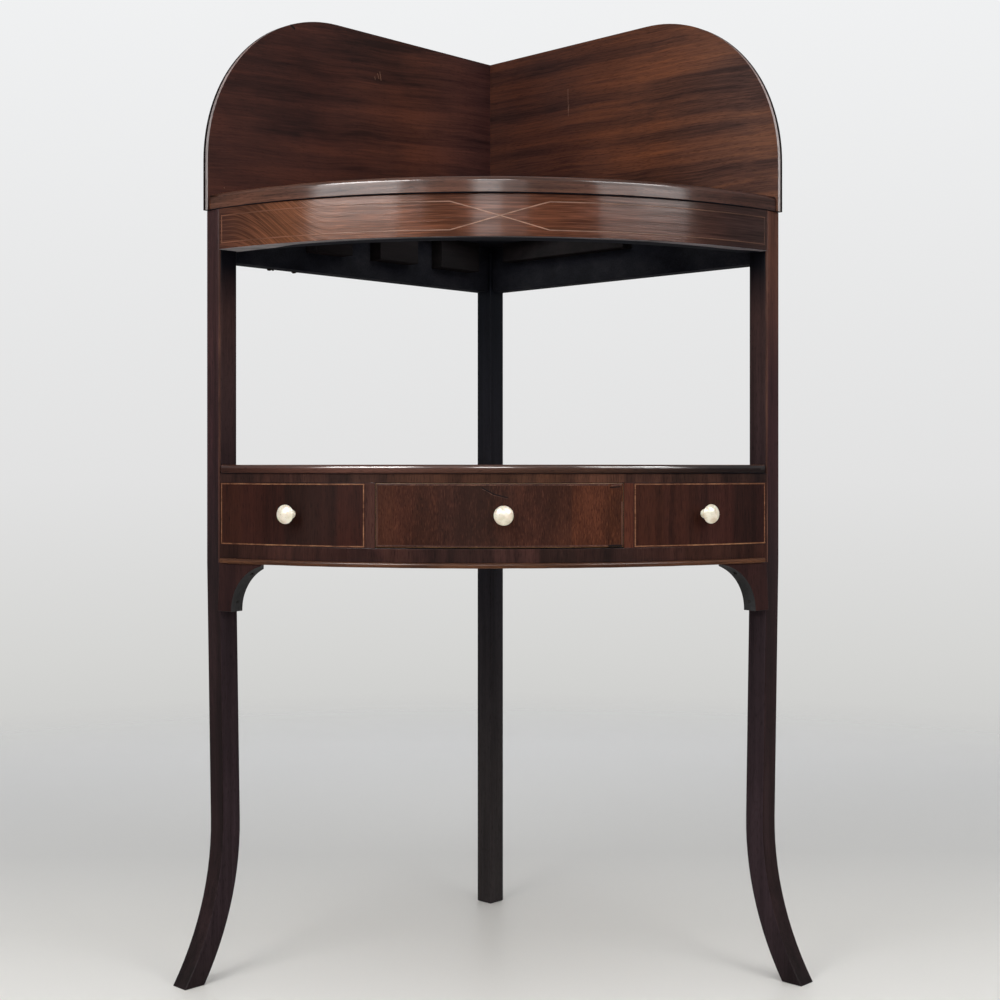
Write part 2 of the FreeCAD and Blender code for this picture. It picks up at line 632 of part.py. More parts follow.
top_corner_along = "(Dims.top_corner - Dims.splash_lead)"
splash_inner = "(Dims.splash_thickness - Dims.splash_proud)"
top_corner = beside(top_corner_along, splash_inner)
top_corner_right = beside(top_corner_along, splash_inner, True)
TOP_RISE = f"(Dims.bow_front + Dims.top_overhang + {top_corner[1]})"
TOP_RADIUS = f"(({top_corner[0]}^2 + {TOP_RISE}^2) / (2 * {TOP_RISE}))"
top_rear = ("0", f"({HALF} - {splash_inner} * sqrt(2))")
top_body = plan_board("top_blank", [top_corner, top_corner_right, top_rear], {0: (TOP_RADIUS, 1)},
                      dim("leg_top"), dim("top_thickness"))
hole_sketch = new_sketch(top_body, "XY_Plane", "holes")
draw_circle(hole_sketch, ("0", "Dims.basin_back"), dim("basin_radius"))
draw_circle(hole_sketch, ("-Dims.cup_side", "Dims.cup_back"), dim("cup_radius"))
draw_circle(hole_sketch, ("Dims.cup_side", "Dims.cup_back"), dim("cup_radius"))
holes = top_body.newObject("PartDesign::Pocket", "holes_pocket")
holes.Profile = hole_sketch
holes.Type = "ThroughAll"
holes.Midplane = True
hole_sketch.Visibility = False
round_edges(top_body, "hole_rounding",
            lambda edge: any(is_arc_of(edge, radius, dim("top_thickness"))
                             for radius in (dim("basin_radius"), dim("cup_radius"))), dim("hole_arris"))
round_edges(top_body, "front_rounding",
            lambda edge: is_arc_of(edge, TOP_RADIUS, dim("top_thickness")), dim("top_arris"))

# Splashback boards; the left one runs through in the rear corner and the right one butts on it

splash_front = "-Dims.splash_lead"
splash_end = f"({SIDE_LENGTH} + Dims.splash_proud)"
splash_top = "(Dims.leg_top + Dims.splash_height)"
splash_corners = [
    (splash_front, "Dims.leg_top"),
    (splash_end, "Dims.leg_top"),
    (splash_end, splash_top),
    (f"{splash_front} + Dims.ear_radius", splash_top),
    (splash_front, f"{splash_top} - Dims.ear_radius"),
]
splash_body = new_body("splash_blank")
splash_sketch = new_sketch(splash_body, "XZ_Plane", "splash_side_view")
draw_outline(splash_sketch, splash_corners, {3: ("Dims.ear_radius", 1)})
pad(splash_body, splash_sketch, "Dims.splash_thickness", "splash_pad")
place_on_left(splash_body, "0", "-Dims.splash_proud", "0")

# Cut nails through the splashback into the edge of the top, at these shares of the side
nail_shares = (0.12, 0.37, 0.63, 0.88)
nail_level = "(Dims.leg_top + Dims.top_thickness / 2)"
nail_from = "(Dims.cut_nail_sink - Dims.splash_proud)"
slot_from = "(-Dims.splash_proud - Dims.cut_nail_width)"


def left_cut_nails(name, outer):
    """Square bars of the left splashback's nails, or of their holes, starting at outer."""
    half_width = "Dims.cut_nail_width / 2"
    half_height = "Dims.cut_nail_height / 2"
    inward = (outer, f"{nail_from} + Dims.cut_nail_length")
    bars = []
    for number, share in enumerate(nail_shares):
        middle = f"({SIDE_LENGTH} * {share})"
        bars.append(left_box(f"{name}_{number}", (f"{middle} - {half_width}", f"{middle} + {half_width}"),
                             inward, f"{nail_level} - {half_height}", f"{nail_level} + {half_height}"))
    return group(f"{name}s_left", bars)


left_nails = left_cut_nails("cut_nail", nail_from)
left_slots = left_cut_nails("nail_slot", slot_from)
right_slots = mirror("nail_slots_right", left_slots)
keep(group("splash_nails", [left_nails, mirror("cut_nails_right", left_nails)]), "splash_nails")
splash_mirrored = mirror("splash_mirrored", splash_body)
keep(cut("splashback_left", splash_body, left_slots), "splashback_left")
splash_trimmed = cut("splash_trimmed", splash_mirrored, splash_body)
keep(cut("splashback_right", splash_trimmed, right_slots), "splashback_right")
top_drilled = cut("top_drilled", top_body, left_slots)
keep(cut("top_board", top_drilled, right_slots), "top_board")

# Glue blocks on the left and a batten on the right, in the angle of rail and top

# Middle of each block along the side, and its length
block_places = ((144, 52), (240, 58), (338, 62))
block_inward = ("Dims.upper_rail_thickness", "Dims.upper_rail_thickness + Dims.block_depth")
blocks = [left_box(f"glue_block_{n}", (middle - length / 2, middle + length / 2), block_inward,
                   "Dims.leg_top - Dims.block_height", dim("leg_top"))
          for n, (middle, length) in enumerate(block_places)]
keep(group("glue_blocks_left", blocks), "glue_blocks_left")
batten_inward = ("Dims.upper_rail_thickness", "Dims.upper_rail_thickness + Dims.batten_depth")
batten_run = ("Dims.batten_start", f"{SIDE_LENGTH} - Dims.batten_end")
batten = left_box("glue_batten", batten_run, batten_inward,
                  "Dims.leg_top - Dims.batten_height", dim("leg_top"))
keep(mirror("glue_batten_right", batten), "glue_batten_right")

# Shelf, notched round the three legs, with a rounded nosing

NOSING_RADIUS = f"({BOW_RADIUS} + Dims.shelf_nosing)"
leg_back = "Dims.leg_section"
rear_start = f"({SIDE_LENGTH} - Dims.leg_section)"
left_notch = [beside(leg_back, "0"), beside(leg_back, "Dims.leg_section")]
right_notch = [beside(leg_back, "Dims.leg_section", True), beside(leg_back, "0", True)]
shelf_corners = ([at_leg(NOSING_RADIUS), at_leg(NOSING_RADIUS, True)] + right_notch
                 + [beside(rear_start, "0", True), ("0", f"({HALF} - Dims.leg_section * sqrt(2))"),
                    beside(rear_start, "0")] + left_notch)
shelf = plan_board("shelf_blank", shelf_corners, {0: (NOSING_RADIUS, 1)}, SHELF_BOTTOM,
                   dim("shelf_thickness"))
round_edges(shelf, "nosing_rounding",
            lambda edge: any(is_arc_of(edge, NOSING_RADIUS, height)
                             for height in ("0", dim("shelf_thickness"))), dim("nosing_round"))
keep(shelf, "tier_shelf")

# Bowed rails above and below the drawer, and the bead along the lower edge


def bow_rail(name, depth, low, high, tenon):
    """Bowed rail between the front legs, tenoned into both."""
    board = bow_board(f"{name}_board", BOW_RADIUS, depth, low, high)
    return fuse(f"{name}_blank", [board, tenon, mirror(f"{name}_tenon_right", tenon)])


keep(bow_rail("tier_rail_top", dim("top_rail_depth"), DRAWER_SPACE_TOP, SHELF_BOTTOM, top_rail_tenon),
     "tier_rail_top")
low_rail = bow_rail("tier_rail_bottom", dim("low_rail_depth"), dim("tier_bottom"), DRAWER_SPACE_BOTTOM,
                    low_rail_tenon)
nails_up = group("bracket_nails_up", [nail_up, mirror("bracket_nail_up_right", nail_up)])
keep(cut("tier_rail_bottom", low_rail, nails_up), "tier_rail_bottom")

BEAD_RADIUS = f"({BOW_RADIUS} + Dims.bead_proud)"
bead_body = new_body("bead_ring")
bead_sketch = new_sketch(bead_body, "XZ_Plane", "bead_section")
bead_flat = f"({BEAD_RADIUS} - Dims.bead_chamfer)"
draw_outline(bead_sketch, [
    (BOW_RADIUS, "0"),
    (bead_flat, "0"),
    (BEAD_RADIUS, "Dims.bead_chamfer"),
    (BEAD_RADIUS, "Dims.bead_height - Dims.bead_chamfer"),
    (bead_flat, "Dims.bead_height"),
    (BOW_RADIUS, "Dims.bead_height"),
])
bead_turn = bead_body.newObject("PartDesign::Revolution", "bead_revolution")
bead_turn.Profile = bead_sketch
bead_turn.ReferenceAxis = (bead_sketch, ["V_Axis"])
bead_turn.Angle = 120
bead_turn.Midplane = True
bead_sketch.Visibility = False
bead_body.Placement = FreeCAD.Placement(FreeCAD.Vector(), FreeCAD.Rotation(-90, 0, 0))
bead_body.setExpression(".Placement.Base.y", f"{BOW_CENTRE} - {PLAN_DEPTH_MIDDLE}")
bead_body.setExpression(".Placement.Base.z", dim("tier_bottom"))
bead_band = bow_board("bead_band", BEAD_RADIUS, dim("bead_proud"), dim("tier_bottom"),
                      "(Dims.tier_bottom + Dims.bead_height)")
keep(common("tier_bead", bead_band, bead_body), "tier_bead")

# Bottom board of the tier, behind the lower rail and between the side boards

FLOOR_RADIUS = f"({BOW_RADIUS} - Dims.low_rail_depth)"
floor_corners = [at_leg(FLOOR_RADIUS), at_leg(FLOOR_RADIUS, True),
                 beside("Dims.bottom_board_corner", "Dims.tier_rail_thickness", True),
                 beside(rear_start, "Dims.tier_rail_thickness", True),
                 ("0", f"({HALF} - Dims.leg_section * sqrt(2))"),
                 beside(rear_start, "Dims.tier_rail_thickness"),
                 beside("Dims.bottom_board_corner", "Dims.tier_rail_thickness")]
keep(plan_board("tier_bottom_board", floor_corners, {0: (FLOOR_RADIUS, 1)}, dim("tier_bottom"),
                dim("bottom_board_thickness")), "tier_bottom_board")

# Knobs: a body turned round its own Z axis, with a spigot below the surface it stands on


def knob_blank(name):
    """Turned knob with flattened head, neck, foot and spigot."""
    body = new_body(name)
    sketch = new_sketch(body, "XZ_Plane", f"{name}_profile")
    rim_high = "(Dims.knob_projection - Dims.knob_crown)"
    rim_low = f"({rim_high} - Dims.knob_rim)"
    corners = [
        ("0", "-Dims.spigot_length"),
        ("Dims.spigot_radius", "-Dims.spigot_length"),
        ("Dims.spigot_radius", "0"),
        ("Dims.knob_foot", "0"),
        ("Dims.knob_foot", "Dims.knob_foot_edge"),
        ("Dims.knob_neck", "Dims.knob_foot_height"),
        ("Dims.knob_neck", f"{rim_low} - Dims.knob_under"),
        ("Dims.knob_radius", rim_low),
        ("Dims.knob_radius", rim_high),
        ("0", "Dims.knob_projection"),
    ]
    crown_radius = "((Dims.knob_radius^2 + Dims.knob_crown^2) / (2 * Dims.knob_crown))"
    arcs = {4: ("Dims.knob_foot_curve", -1), 6: ("Dims.knob_under_curve", 1), 8: (crown_radius, 1)}
    draw_outline(sketch, corners, arcs)
    turned = body.newObject("PartDesign::Revolution", f"{name}_revolution")
    turned.Profile = sketch
    turned.ReferenceAxis = (sketch, ["V_Axis"])
    turned.Angle = 360
    sketch.Visibility = False
    return body


def spigot_hole(name, x):
    """Space of a knob's spigot, with a little clearance, open to the front."""
    depth = "(Dims.spigot_length + Dims.spigot_gap)"
    hole = cylinder(name, "Dims.spigot_radius + Dims.spigot_gap", f"{depth} * 1.5")
    set_on_bow(hole, x, "Dims.knob_height", FACE_OUT, "0", depth)
    return hole


def string_ring(name, left, right, low, high):
    """Boxwood line round a front, let into the bowed face."""
    body = new_body(f"{name}_pattern")
    sketch = new_sketch(body, "XZ_Plane", f"{name}_lines")
    draw_outline(sketch, upright_line(left, right, low, high))
    width = dim("string_width")
    draw_outline(sketch, upright_line(f"{left} + {width}", f"{right} - {width}",
                                      f"{low} + {width}", f"{high} - {width}"))
    pad(body, sketch, "Dims.front_width", f"{name}_pad")
    body.Placement = FreeCAD.Placement(FreeCAD.Vector(0, value(HALF), 0), FreeCAD.Rotation())
    skin = bow_board(f"{name}_skin", BOW_RADIUS, dim("string_depth"), low, high)
    return keep(common(name, skin, body), name)


# Dummy fronts, dividers and knobs on each side of the drawer

opening_left = f"(Dims.drawer_shift - {OPENING_HALF})"
opening_right = f"(Dims.drawer_shift + {OPENING_HALF})"
ring_low = f"({DRAWER_SPACE_BOTTOM} + Dims.string_inset)"
ring_high = f"({DRAWER_SPACE_TOP} - Dims.string_inset)"

for side, sign, edge in (("left", -1, opening_left), ("right", 1, opening_right)):
    outer = f"({edge} + ({sign}) * Dims.divider_width)"
    dummy_ends = ("leg", outer) if side == "left" else (outer, "leg")
    divider_ends = (outer, edge) if side == "left" else (edge, outer)
    board = bow_board(f"dummy_board_{side}", BOW_RADIUS, dim("dummy_thickness"),
                      DRAWER_SPACE_BOTTOM, DRAWER_SPACE_TOP, *dummy_ends)
    near_leg = f"(({sign}) * ({ARRIS_X} - Dims.inlay_end))"
    near_divider = f"({outer} + ({sign}) * Dims.string_inset)"
    ring_ends = (near_leg, near_divider) if side == "left" else (near_divider, near_leg)
    ring = string_ring(f"dummy_stringing_{side}", *ring_ends, ring_low, ring_high)
    knob_x = dim(f"knob_{side}_x")
    hole = spigot_hole(f"dummy_knob_hole_{side}", knob_x)
    cutters = group(f"dummy_cutters_{side}", [ring, hole])
    keep(cut(f"dummy_front_{side}", board, cutters), f"dummy_front_{side}")
    keep(bow_board(f"divider_{side}", BOW_RADIUS, dim("divider_depth"), DRAWER_SPACE_BOTTOM,
                   DRAWER_SPACE_TOP, *divider_ends), f"divider_{side}")
    knob = knob_blank(f"knob_{side}")
    set_on_bow(knob, knob_x, "Dims.knob_height", FACE_OUT)
    keep(knob, f"knob_{side}")

# Runners, guides, kickers and stops for the drawer

RUNNER_IN = f"({DRAWER_HALF} - Dims.runner_inside)"
FLOOR_BOARD_TOP = "(Dims.tier_bottom + Dims.bottom_board_thickness)"


def behind_rail(radius, width):
    """Front end of a strip behind a bowed rail's back, clear of it at the strip's outer edge."""
    outer = f"({RUNNER_IN} + {width} + Dims.drawer_shift)"
    return f"({on_bow(radius, outer)[1]} + Dims.runner_gap)"


def across(sign, inner, outer):
    """Two x values, in order, at distances from the drawer's middle to one side."""
    pair = [f"(Dims.drawer_shift + ({sign}) * ({distance}))" for distance in (inner, outer)]
    return pair if sign > 0 else pair[::-1]


runner_run = (behind_rail(FLOOR_RADIUS, dim("runner_width")), dim("runner_back"))
kicker_run = (behind_rail(f"({BOW_RADIUS} - Dims.top_rail_depth)", dim("kicker_width")), dim("runner_back"))
for side, sign in (("left", -1), ("right", 1)):
    width = across(sign, RUNNER_IN, f"{RUNNER_IN} + Dims.runner_width")
    keep(straight_box(f"drawer_runner_{side}", width, runner_run, FLOOR_BOARD_TOP, DRAWER_SPACE_BOTTOM),
         f"drawer_runner_{side}")
    width = across(sign, OPENING_HALF, f"{OPENING_HALF} + Dims.guide_width")
    keep(straight_box(f"drawer_guide_{side}", width, runner_run, DRAWER_SPACE_BOTTOM,
                      f"{DRAWER_SPACE_BOTTOM} + Dims.guide_height"), f"drawer_guide_{side}")
    width = across(sign, RUNNER_IN, f"{RUNNER_IN} + Dims.kicker_width")
    keep(straight_box(f"drawer_kicker_{side}", width, kicker_run,
                      f"{SIDE_TOP} + Dims.kicker_gap", SHELF_BOTTOM), f"drawer_kicker_{side}")

STOP_RADIUS = f"({BOW_RADIUS} - Dims.drawer_front_thickness - Dims.stop_gap)"
stops = []
for side, sign in (("left", -1), ("right", 1)):
    ends = across(sign, "Dims.stop_side - Dims.stop_length / 2", "Dims.stop_side + Dims.stop_length / 2")
    stops.append(bow_board(f"drawer_stop_{side}", STOP_RADIUS, dim("stop_depth"), DRAWER_SPACE_BOTTOM,
                           f"{DRAWER_SPACE_BOTTOM} + Dims.stop_height", *ends))
keep(group("drawer_stops", stops), "drawer_stops")

# Drawer: bowed front, dovetailed sides, back and a bottom board in grooves

drawer_left = f"(Dims.drawer_shift - {DRAWER_HALF})"
drawer_right = f"(Dims.drawer_shift + {DRAWER_HALF})"
thick = dim("drawer_side_thickness")
FRONT_INNER = f"({BOW_RADIUS} - Dims.drawer_front_thickness)"
front_blank = bow_board("drawer_front_blank", BOW_RADIUS, dim("drawer_front_thickness"),
                        DRAWER_LOW, DRAWER_HIGH, drawer_left, drawer_right)
TAIL_ROOT = f"({BOW_CENTRE} - sqrt({FRONT_INNER}^2 - ({DRAWER_HALF} - {thick})^2))"
TAIL_TIP = f"({TAIL_ROOT} - Dims.tail_length)"
BACK_FRONT = f"(Dims.drawer_back_y - {thick})"
TAIL_COUNT = 3
tail_middles = [f"({FLOOR_HIGH} + ({SIDE_TOP} - {FLOOR_HIGH}) * {2 * number + 1} / {2 * TAIL_COUNT})"
                for number in range(TAIL_COUNT)]


def tail(name, left, wide_y, narrow_y, middle):
    """One dovetail of a drawer side: wide at its free end, narrow where it leaves the side."""
    wedge = doc.addObject("Part::Wedge", name)
    wide_first = value(wide_y) < value(narrow_y)
    first, last = (wide_y, narrow_y) if wide_first else (narrow_y, wide_y)
    wide_half = "(Dims.tail_height / 2)"
    narrow_half = "(Dims.tail_height / 2 - Dims.tail_taper)"
    first_half, last_half = (wide_half, narrow_half) if wide_first else (narrow_half, wide_half)
    settings = {"Xmin": "0", "Xmax": thick, "X2min": "0", "X2max": thick,
                "Ymin": "0", "Ymax": f"({last}) - ({first})",
                "Zmin": f"-{first_half}", "Zmax": first_half, "Z2min": f"-{last_half}", "Z2max": last_half}
    for name_of_size, expression in settings.items():
        wedge.setExpression(name_of_size, expression)
    wedge.setExpression(".Placement.Base.x", left)
    wedge.setExpression(".Placement.Base.y", f"({first}) - {PLAN_DEPTH_MIDDLE}")
    wedge.setExpression(".Placement.Base.z", middle)
    return wedge


def drawer_floor(name):
    """Bottom board of the drawer, entering the grooves of front and sides."""
    left = f"({drawer_left} + {thick} - Dims.groove_depth)"
    right = f"({drawer_right} - {thick} + Dims.groove_depth)"
    radius = f"({FRONT_INNER} + Dims.groove_depth)"
    corners = [on_bow(radius, left), on_bow(radius, right), (right, "Dims.drawer_back_y"),
               (left, "Dims.drawer_back_y")]
    return plan_board(name, corners, {0: (radius, 1)}, FLOOR_LOW, dim("drawer_floor_thickness"))


floor_board = keep(drawer_floor("drawer_bottom"), "drawer_bottom")
front_tails = []
back_tails = []
for side, left in (("left", drawer_left), ("right", f"({drawer_right} - {thick})")):
    board = straight_box(f"side_board_{side}", (left, f"{left} + {thick}"),
                         (TAIL_TIP, BACK_FRONT), DRAWER_LOW, SIDE_TOP)
    fitted = cut(f"side_fitted_{side}", board, front_blank)
    # The tails start a little inside the board, so that they join it across its whole thickness
    front_root = f"{TAIL_ROOT} + Dims.side_bow + Dims.tail_root"
    back_root = f"{BACK_FRONT} - Dims.tail_root"
    front = [tail(f"front_tail_{side}_{n}", left, TAIL_TIP, front_root, middle)
             for n, middle in enumerate(tail_middles)]
    back = [tail(f"back_tail_{side}_{n}", left, dim("drawer_back_y"), back_root, middle)
            for n, middle in enumerate(tail_middles)]
    front_tails += front
    back_tails += back
    joined = fuse(f"side_joined_{side}", [fitted] + front + back)
    keep(cut(f"drawer_side_{side}", joined, floor_board), f"drawer_side_{side}")

drawer_ring = string_ring("drawer_stringing", f"({drawer_left} + Dims.string_inset)",
                          f"({drawer_right} - Dims.string_inset)",
                          f"({DRAWER_LOW} + Dims.string_inset)", f"({DRAWER_HIGH} - Dims.string_inset)")
knob_place = "(Dims.drawer_shift + Dims.drawer_knob_aside)"
front_cutters = group("drawer_front_cutters", front_tails + [floor_board, drawer_ring,
                                                             spigot_hole("drawer_knob_hole", knob_place)])
keep(cut("drawer_front", front_blank, front_cutters), "drawer_front")
back_run = (BACK_FRONT, dim("drawer_back_y"))
back_board = straight_box("drawer_back_board", (drawer_left, drawer_right), back_run,
                          FLOOR_HIGH, f"{SIDE_TOP} - Dims.kicker_gap")
keep(cut("drawer_back", back_board, group("drawer_back_cutters", back_tails)), "drawer_back")
drawer_knob = knob_blank("drawer_knob")
set_on_bow(drawer_knob, knob_place, "Dims.knob_height", FACE_OUT)
keep(drawer_knob, "drawer_knob")

# Brackets under the tier: bowed blocks with a hollow edge, and two nails each

hollow_left = cylinder("bracket_hollow_left", "Dims.hollow_radius", "Dims.bracket_thickness * 3")
set_on_bow(hollow_left, BRACKET_X, HOLLOW_HEIGHT, FACE_OUT,
           "Dims.hollow_along - Dims.bracket_square", "Dims.bracket_thickness * 2")
bracket_tip = bow_x("Dims.bracket_left_length")
block_left = bow_board("bracket_block_left", BOW_RADIUS, dim("bracket_thickness"), BRACKET_LOW,
                       dim("tier_bottom"), "leg", bracket_tip)
bracket_tip = f"(-{bow_x('Dims.bracket_right_length')})"
block_right = bow_board("bracket_block_right", BOW_RADIUS, dim("bracket_thickness"), BRACKET_LOW,
                        dim("tier_bottom"), bracket_tip, "leg")
tools_left = group("bracket_tools_left", [hollow_left, nail_holes])
keep(cut("bracket_left", block_left, tools_left), "bracket_left")
keep(cut("bracket_right", block_right, mirror("bracket_tools_right", tools_left)), "bracket_right")
nails_left = group("bracket_nails_left", [nail_up, nail_side])
keep(group("bracket_nails", [nails_left, mirror("bracket_nails_right", nails_left)]), "bracket_nails")

doc.recompute()

# Every object is checked before anything is written

faults = [f"{item.Name}: {item.getStatusString()}" for item in doc.Objects
          if "Invalid" in item.State or "Error" in item.State]
faults += [f"{item.Label}: bad shape" for item in parts
           if item.Shape.isNull() or not item.Shape.isValid() or not item.Shape.Solids]
if faults:
    raise RuntimeError("; ".join(faults))

os.makedirs("parts", exist_ok=True)
for item in parts:
    item.Shape.exportStep(os.path.join("parts", f"{item.Label}.step"))
    print(f"{item.Label}: {len(item.Shape.Solids)} solid(s), {item.Shape.Volume / 1000:.1f} cm3")
print(f"{len(parts)} nodes")
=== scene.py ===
"""Looks of a bow-front corner washstand in old mahogany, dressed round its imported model."""
import logging
import math
import random
from abc import ABC, abstractmethod
from collections.abc import Callable, Sequence
from dataclasses import dataclass, replace
from enum import Enum

import bmesh
import bpy
import numpy as np
from bmesh.types import BMEdge, BMesh, BMFace, BMVert
from bpy.types import Material, Mesh, Node, NodeOutputs, NodeSocket, NodeTree, Object
from mathutils import Matrix, Vector, noise


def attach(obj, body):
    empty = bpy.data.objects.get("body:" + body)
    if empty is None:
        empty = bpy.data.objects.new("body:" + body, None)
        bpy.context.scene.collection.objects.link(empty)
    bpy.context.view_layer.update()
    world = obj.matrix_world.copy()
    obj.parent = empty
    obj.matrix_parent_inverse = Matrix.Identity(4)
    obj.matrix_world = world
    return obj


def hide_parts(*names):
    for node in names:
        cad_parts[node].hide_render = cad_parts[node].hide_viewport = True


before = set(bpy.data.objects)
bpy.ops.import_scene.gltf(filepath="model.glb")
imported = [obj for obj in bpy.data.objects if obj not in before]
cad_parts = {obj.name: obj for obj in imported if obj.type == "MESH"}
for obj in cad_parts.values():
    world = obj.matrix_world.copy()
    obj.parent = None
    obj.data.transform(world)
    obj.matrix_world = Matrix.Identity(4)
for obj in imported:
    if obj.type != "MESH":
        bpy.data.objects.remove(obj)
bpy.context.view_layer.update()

log = logging.getLogger("washstand")

MM = 0.001
SLANT = math.sqrt(0.5)

# Least share of a face's normal that points a way for the face to look that way
MOSTLY = 0.7
MOST_LEAVES = 15  # a ramp holds 32 stops, two for each leaf

# Sockets of the colour Mix node that share their names with other types
MIX_A, MIX_B, MIX_RESULT = 6, 7, 2

# Picks a finish's number by a face's middle and normal
Chooser = Callable[[Vector, Vector], int]

# Places on a face or in a section, as pairs of mm
Places = tuple[tuple[float, float], ...]


class Body(Enum):
    """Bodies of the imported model."""
    STAND = "stand"
    DRAWER = "drawer"


class Slot(Enum):
    """Material slots of the record."""
    MAHOGANY = "mahogany"
    PINE = "pine"
    OAK = "oak"
    BOXWOOD = "boxwood"
    BONE = "bone"
    IRON = "iron"


class Grain(Enum):
    """Turn, in degrees about X, Y and Z, that lays a board's grain along X."""
    ALONG_FRONT = (0, 0, 0)
    UPRIGHT = (0, 90, 0)
    LEFT_SIDE = (0, 0, -45)
    RIGHT_SIDE = (0, 0, 45)
    FRONT_TO_BACK = (0, 0, -90)


class Blend(Enum):
    """How the slope of a board's grain sets in over its zone."""
    EVEN = "LINEAR"
    GENTLE = "SMOOTHSTEP"


def linear(code: str) -> tuple[float, float, float, float]:
    """Turns a hex colour to linear light.

    Args:
        code: sRGB colour as six hex digits after a hash.

    Returns:
        Red, green, blue and an alpha of 1.
    """
    channels = [int(code[i:i + 2], 16) / 255 for i in (1, 3, 5)]
    return (*(c / 12.92 if c <= 0.04045 else ((c + 0.055) / 1.055) ** 2.4 for c in channels), 1.0)


def add_node(tree: NodeTree, kind: str, settings: dict | None = None,
             feeds: dict | None = None) -> Node:
    """Adds a node with its settings and what its sockets take.

    Args:
        tree: tree that gets the node.
        kind: node type.
        settings: properties of the node.
        feeds: what each input takes, another node's output or a plain value.

    Returns:
        The new node.
    """
    node = tree.nodes.new(kind)
    for key, setting in (settings or {}).items():
        setattr(node, key, setting)
    for socket, source in (feeds or {}).items():
        if isinstance(source, NodeSocket):
            tree.links.new(source, node.inputs[socket])
        else:
            node.inputs[socket].default_value = source
    return node


def new_material(name: str) -> tuple[Material, NodeTree]:
    """Makes an empty node material.

    Args:
        name: name of the material.

    Returns:
        The material and its node tree.
    """
    material = bpy.data.materials.new(name)
    material.use_nodes = True
    material.node_tree.nodes.clear()
    return material, material.node_tree


def set_ramp(node: Node, stops: Sequence[tuple[float, str]]) -> None:
    """Gives a colour ramp its stops.

    Args:
        node: the ramp node.
        stops: position and hex colour of each stop.
    """
    elements = node.color_ramp.elements
    while len(elements) < len(stops):
        elements.new(1.0)
    for element, (place, code) in zip(elements, stops):
        element.position = place
        element.color = linear(code)


@dataclass(frozen=True)
class Finish(ABC):
    """What a surface is made of and how it was made."""
    name: str

    def material(self) -> Material:
        """Builds the finish as a node material.

        Returns:
            The material, made once for each name.
        """
        if self.name in bpy.data.materials:
            return bpy.data.materials[self.name]
        material, tree = new_material(self.name)
        place = add_node(tree, "ShaderNodeTexCoord").outputs["Object"]
        shader = self._shader(tree, place)
        add_node(tree, "ShaderNodeOutputMaterial", None, {"Surface": shader.outputs[0]})
        return material

    @abstractmethod
    def _shader(self, tree: NodeTree, place: NodeSocket) -> Node:
        """Adds the nodes of the finish.

        Args:
            tree: tree of the material.
            place: place on the object.

        Returns:
            The shader.
        """


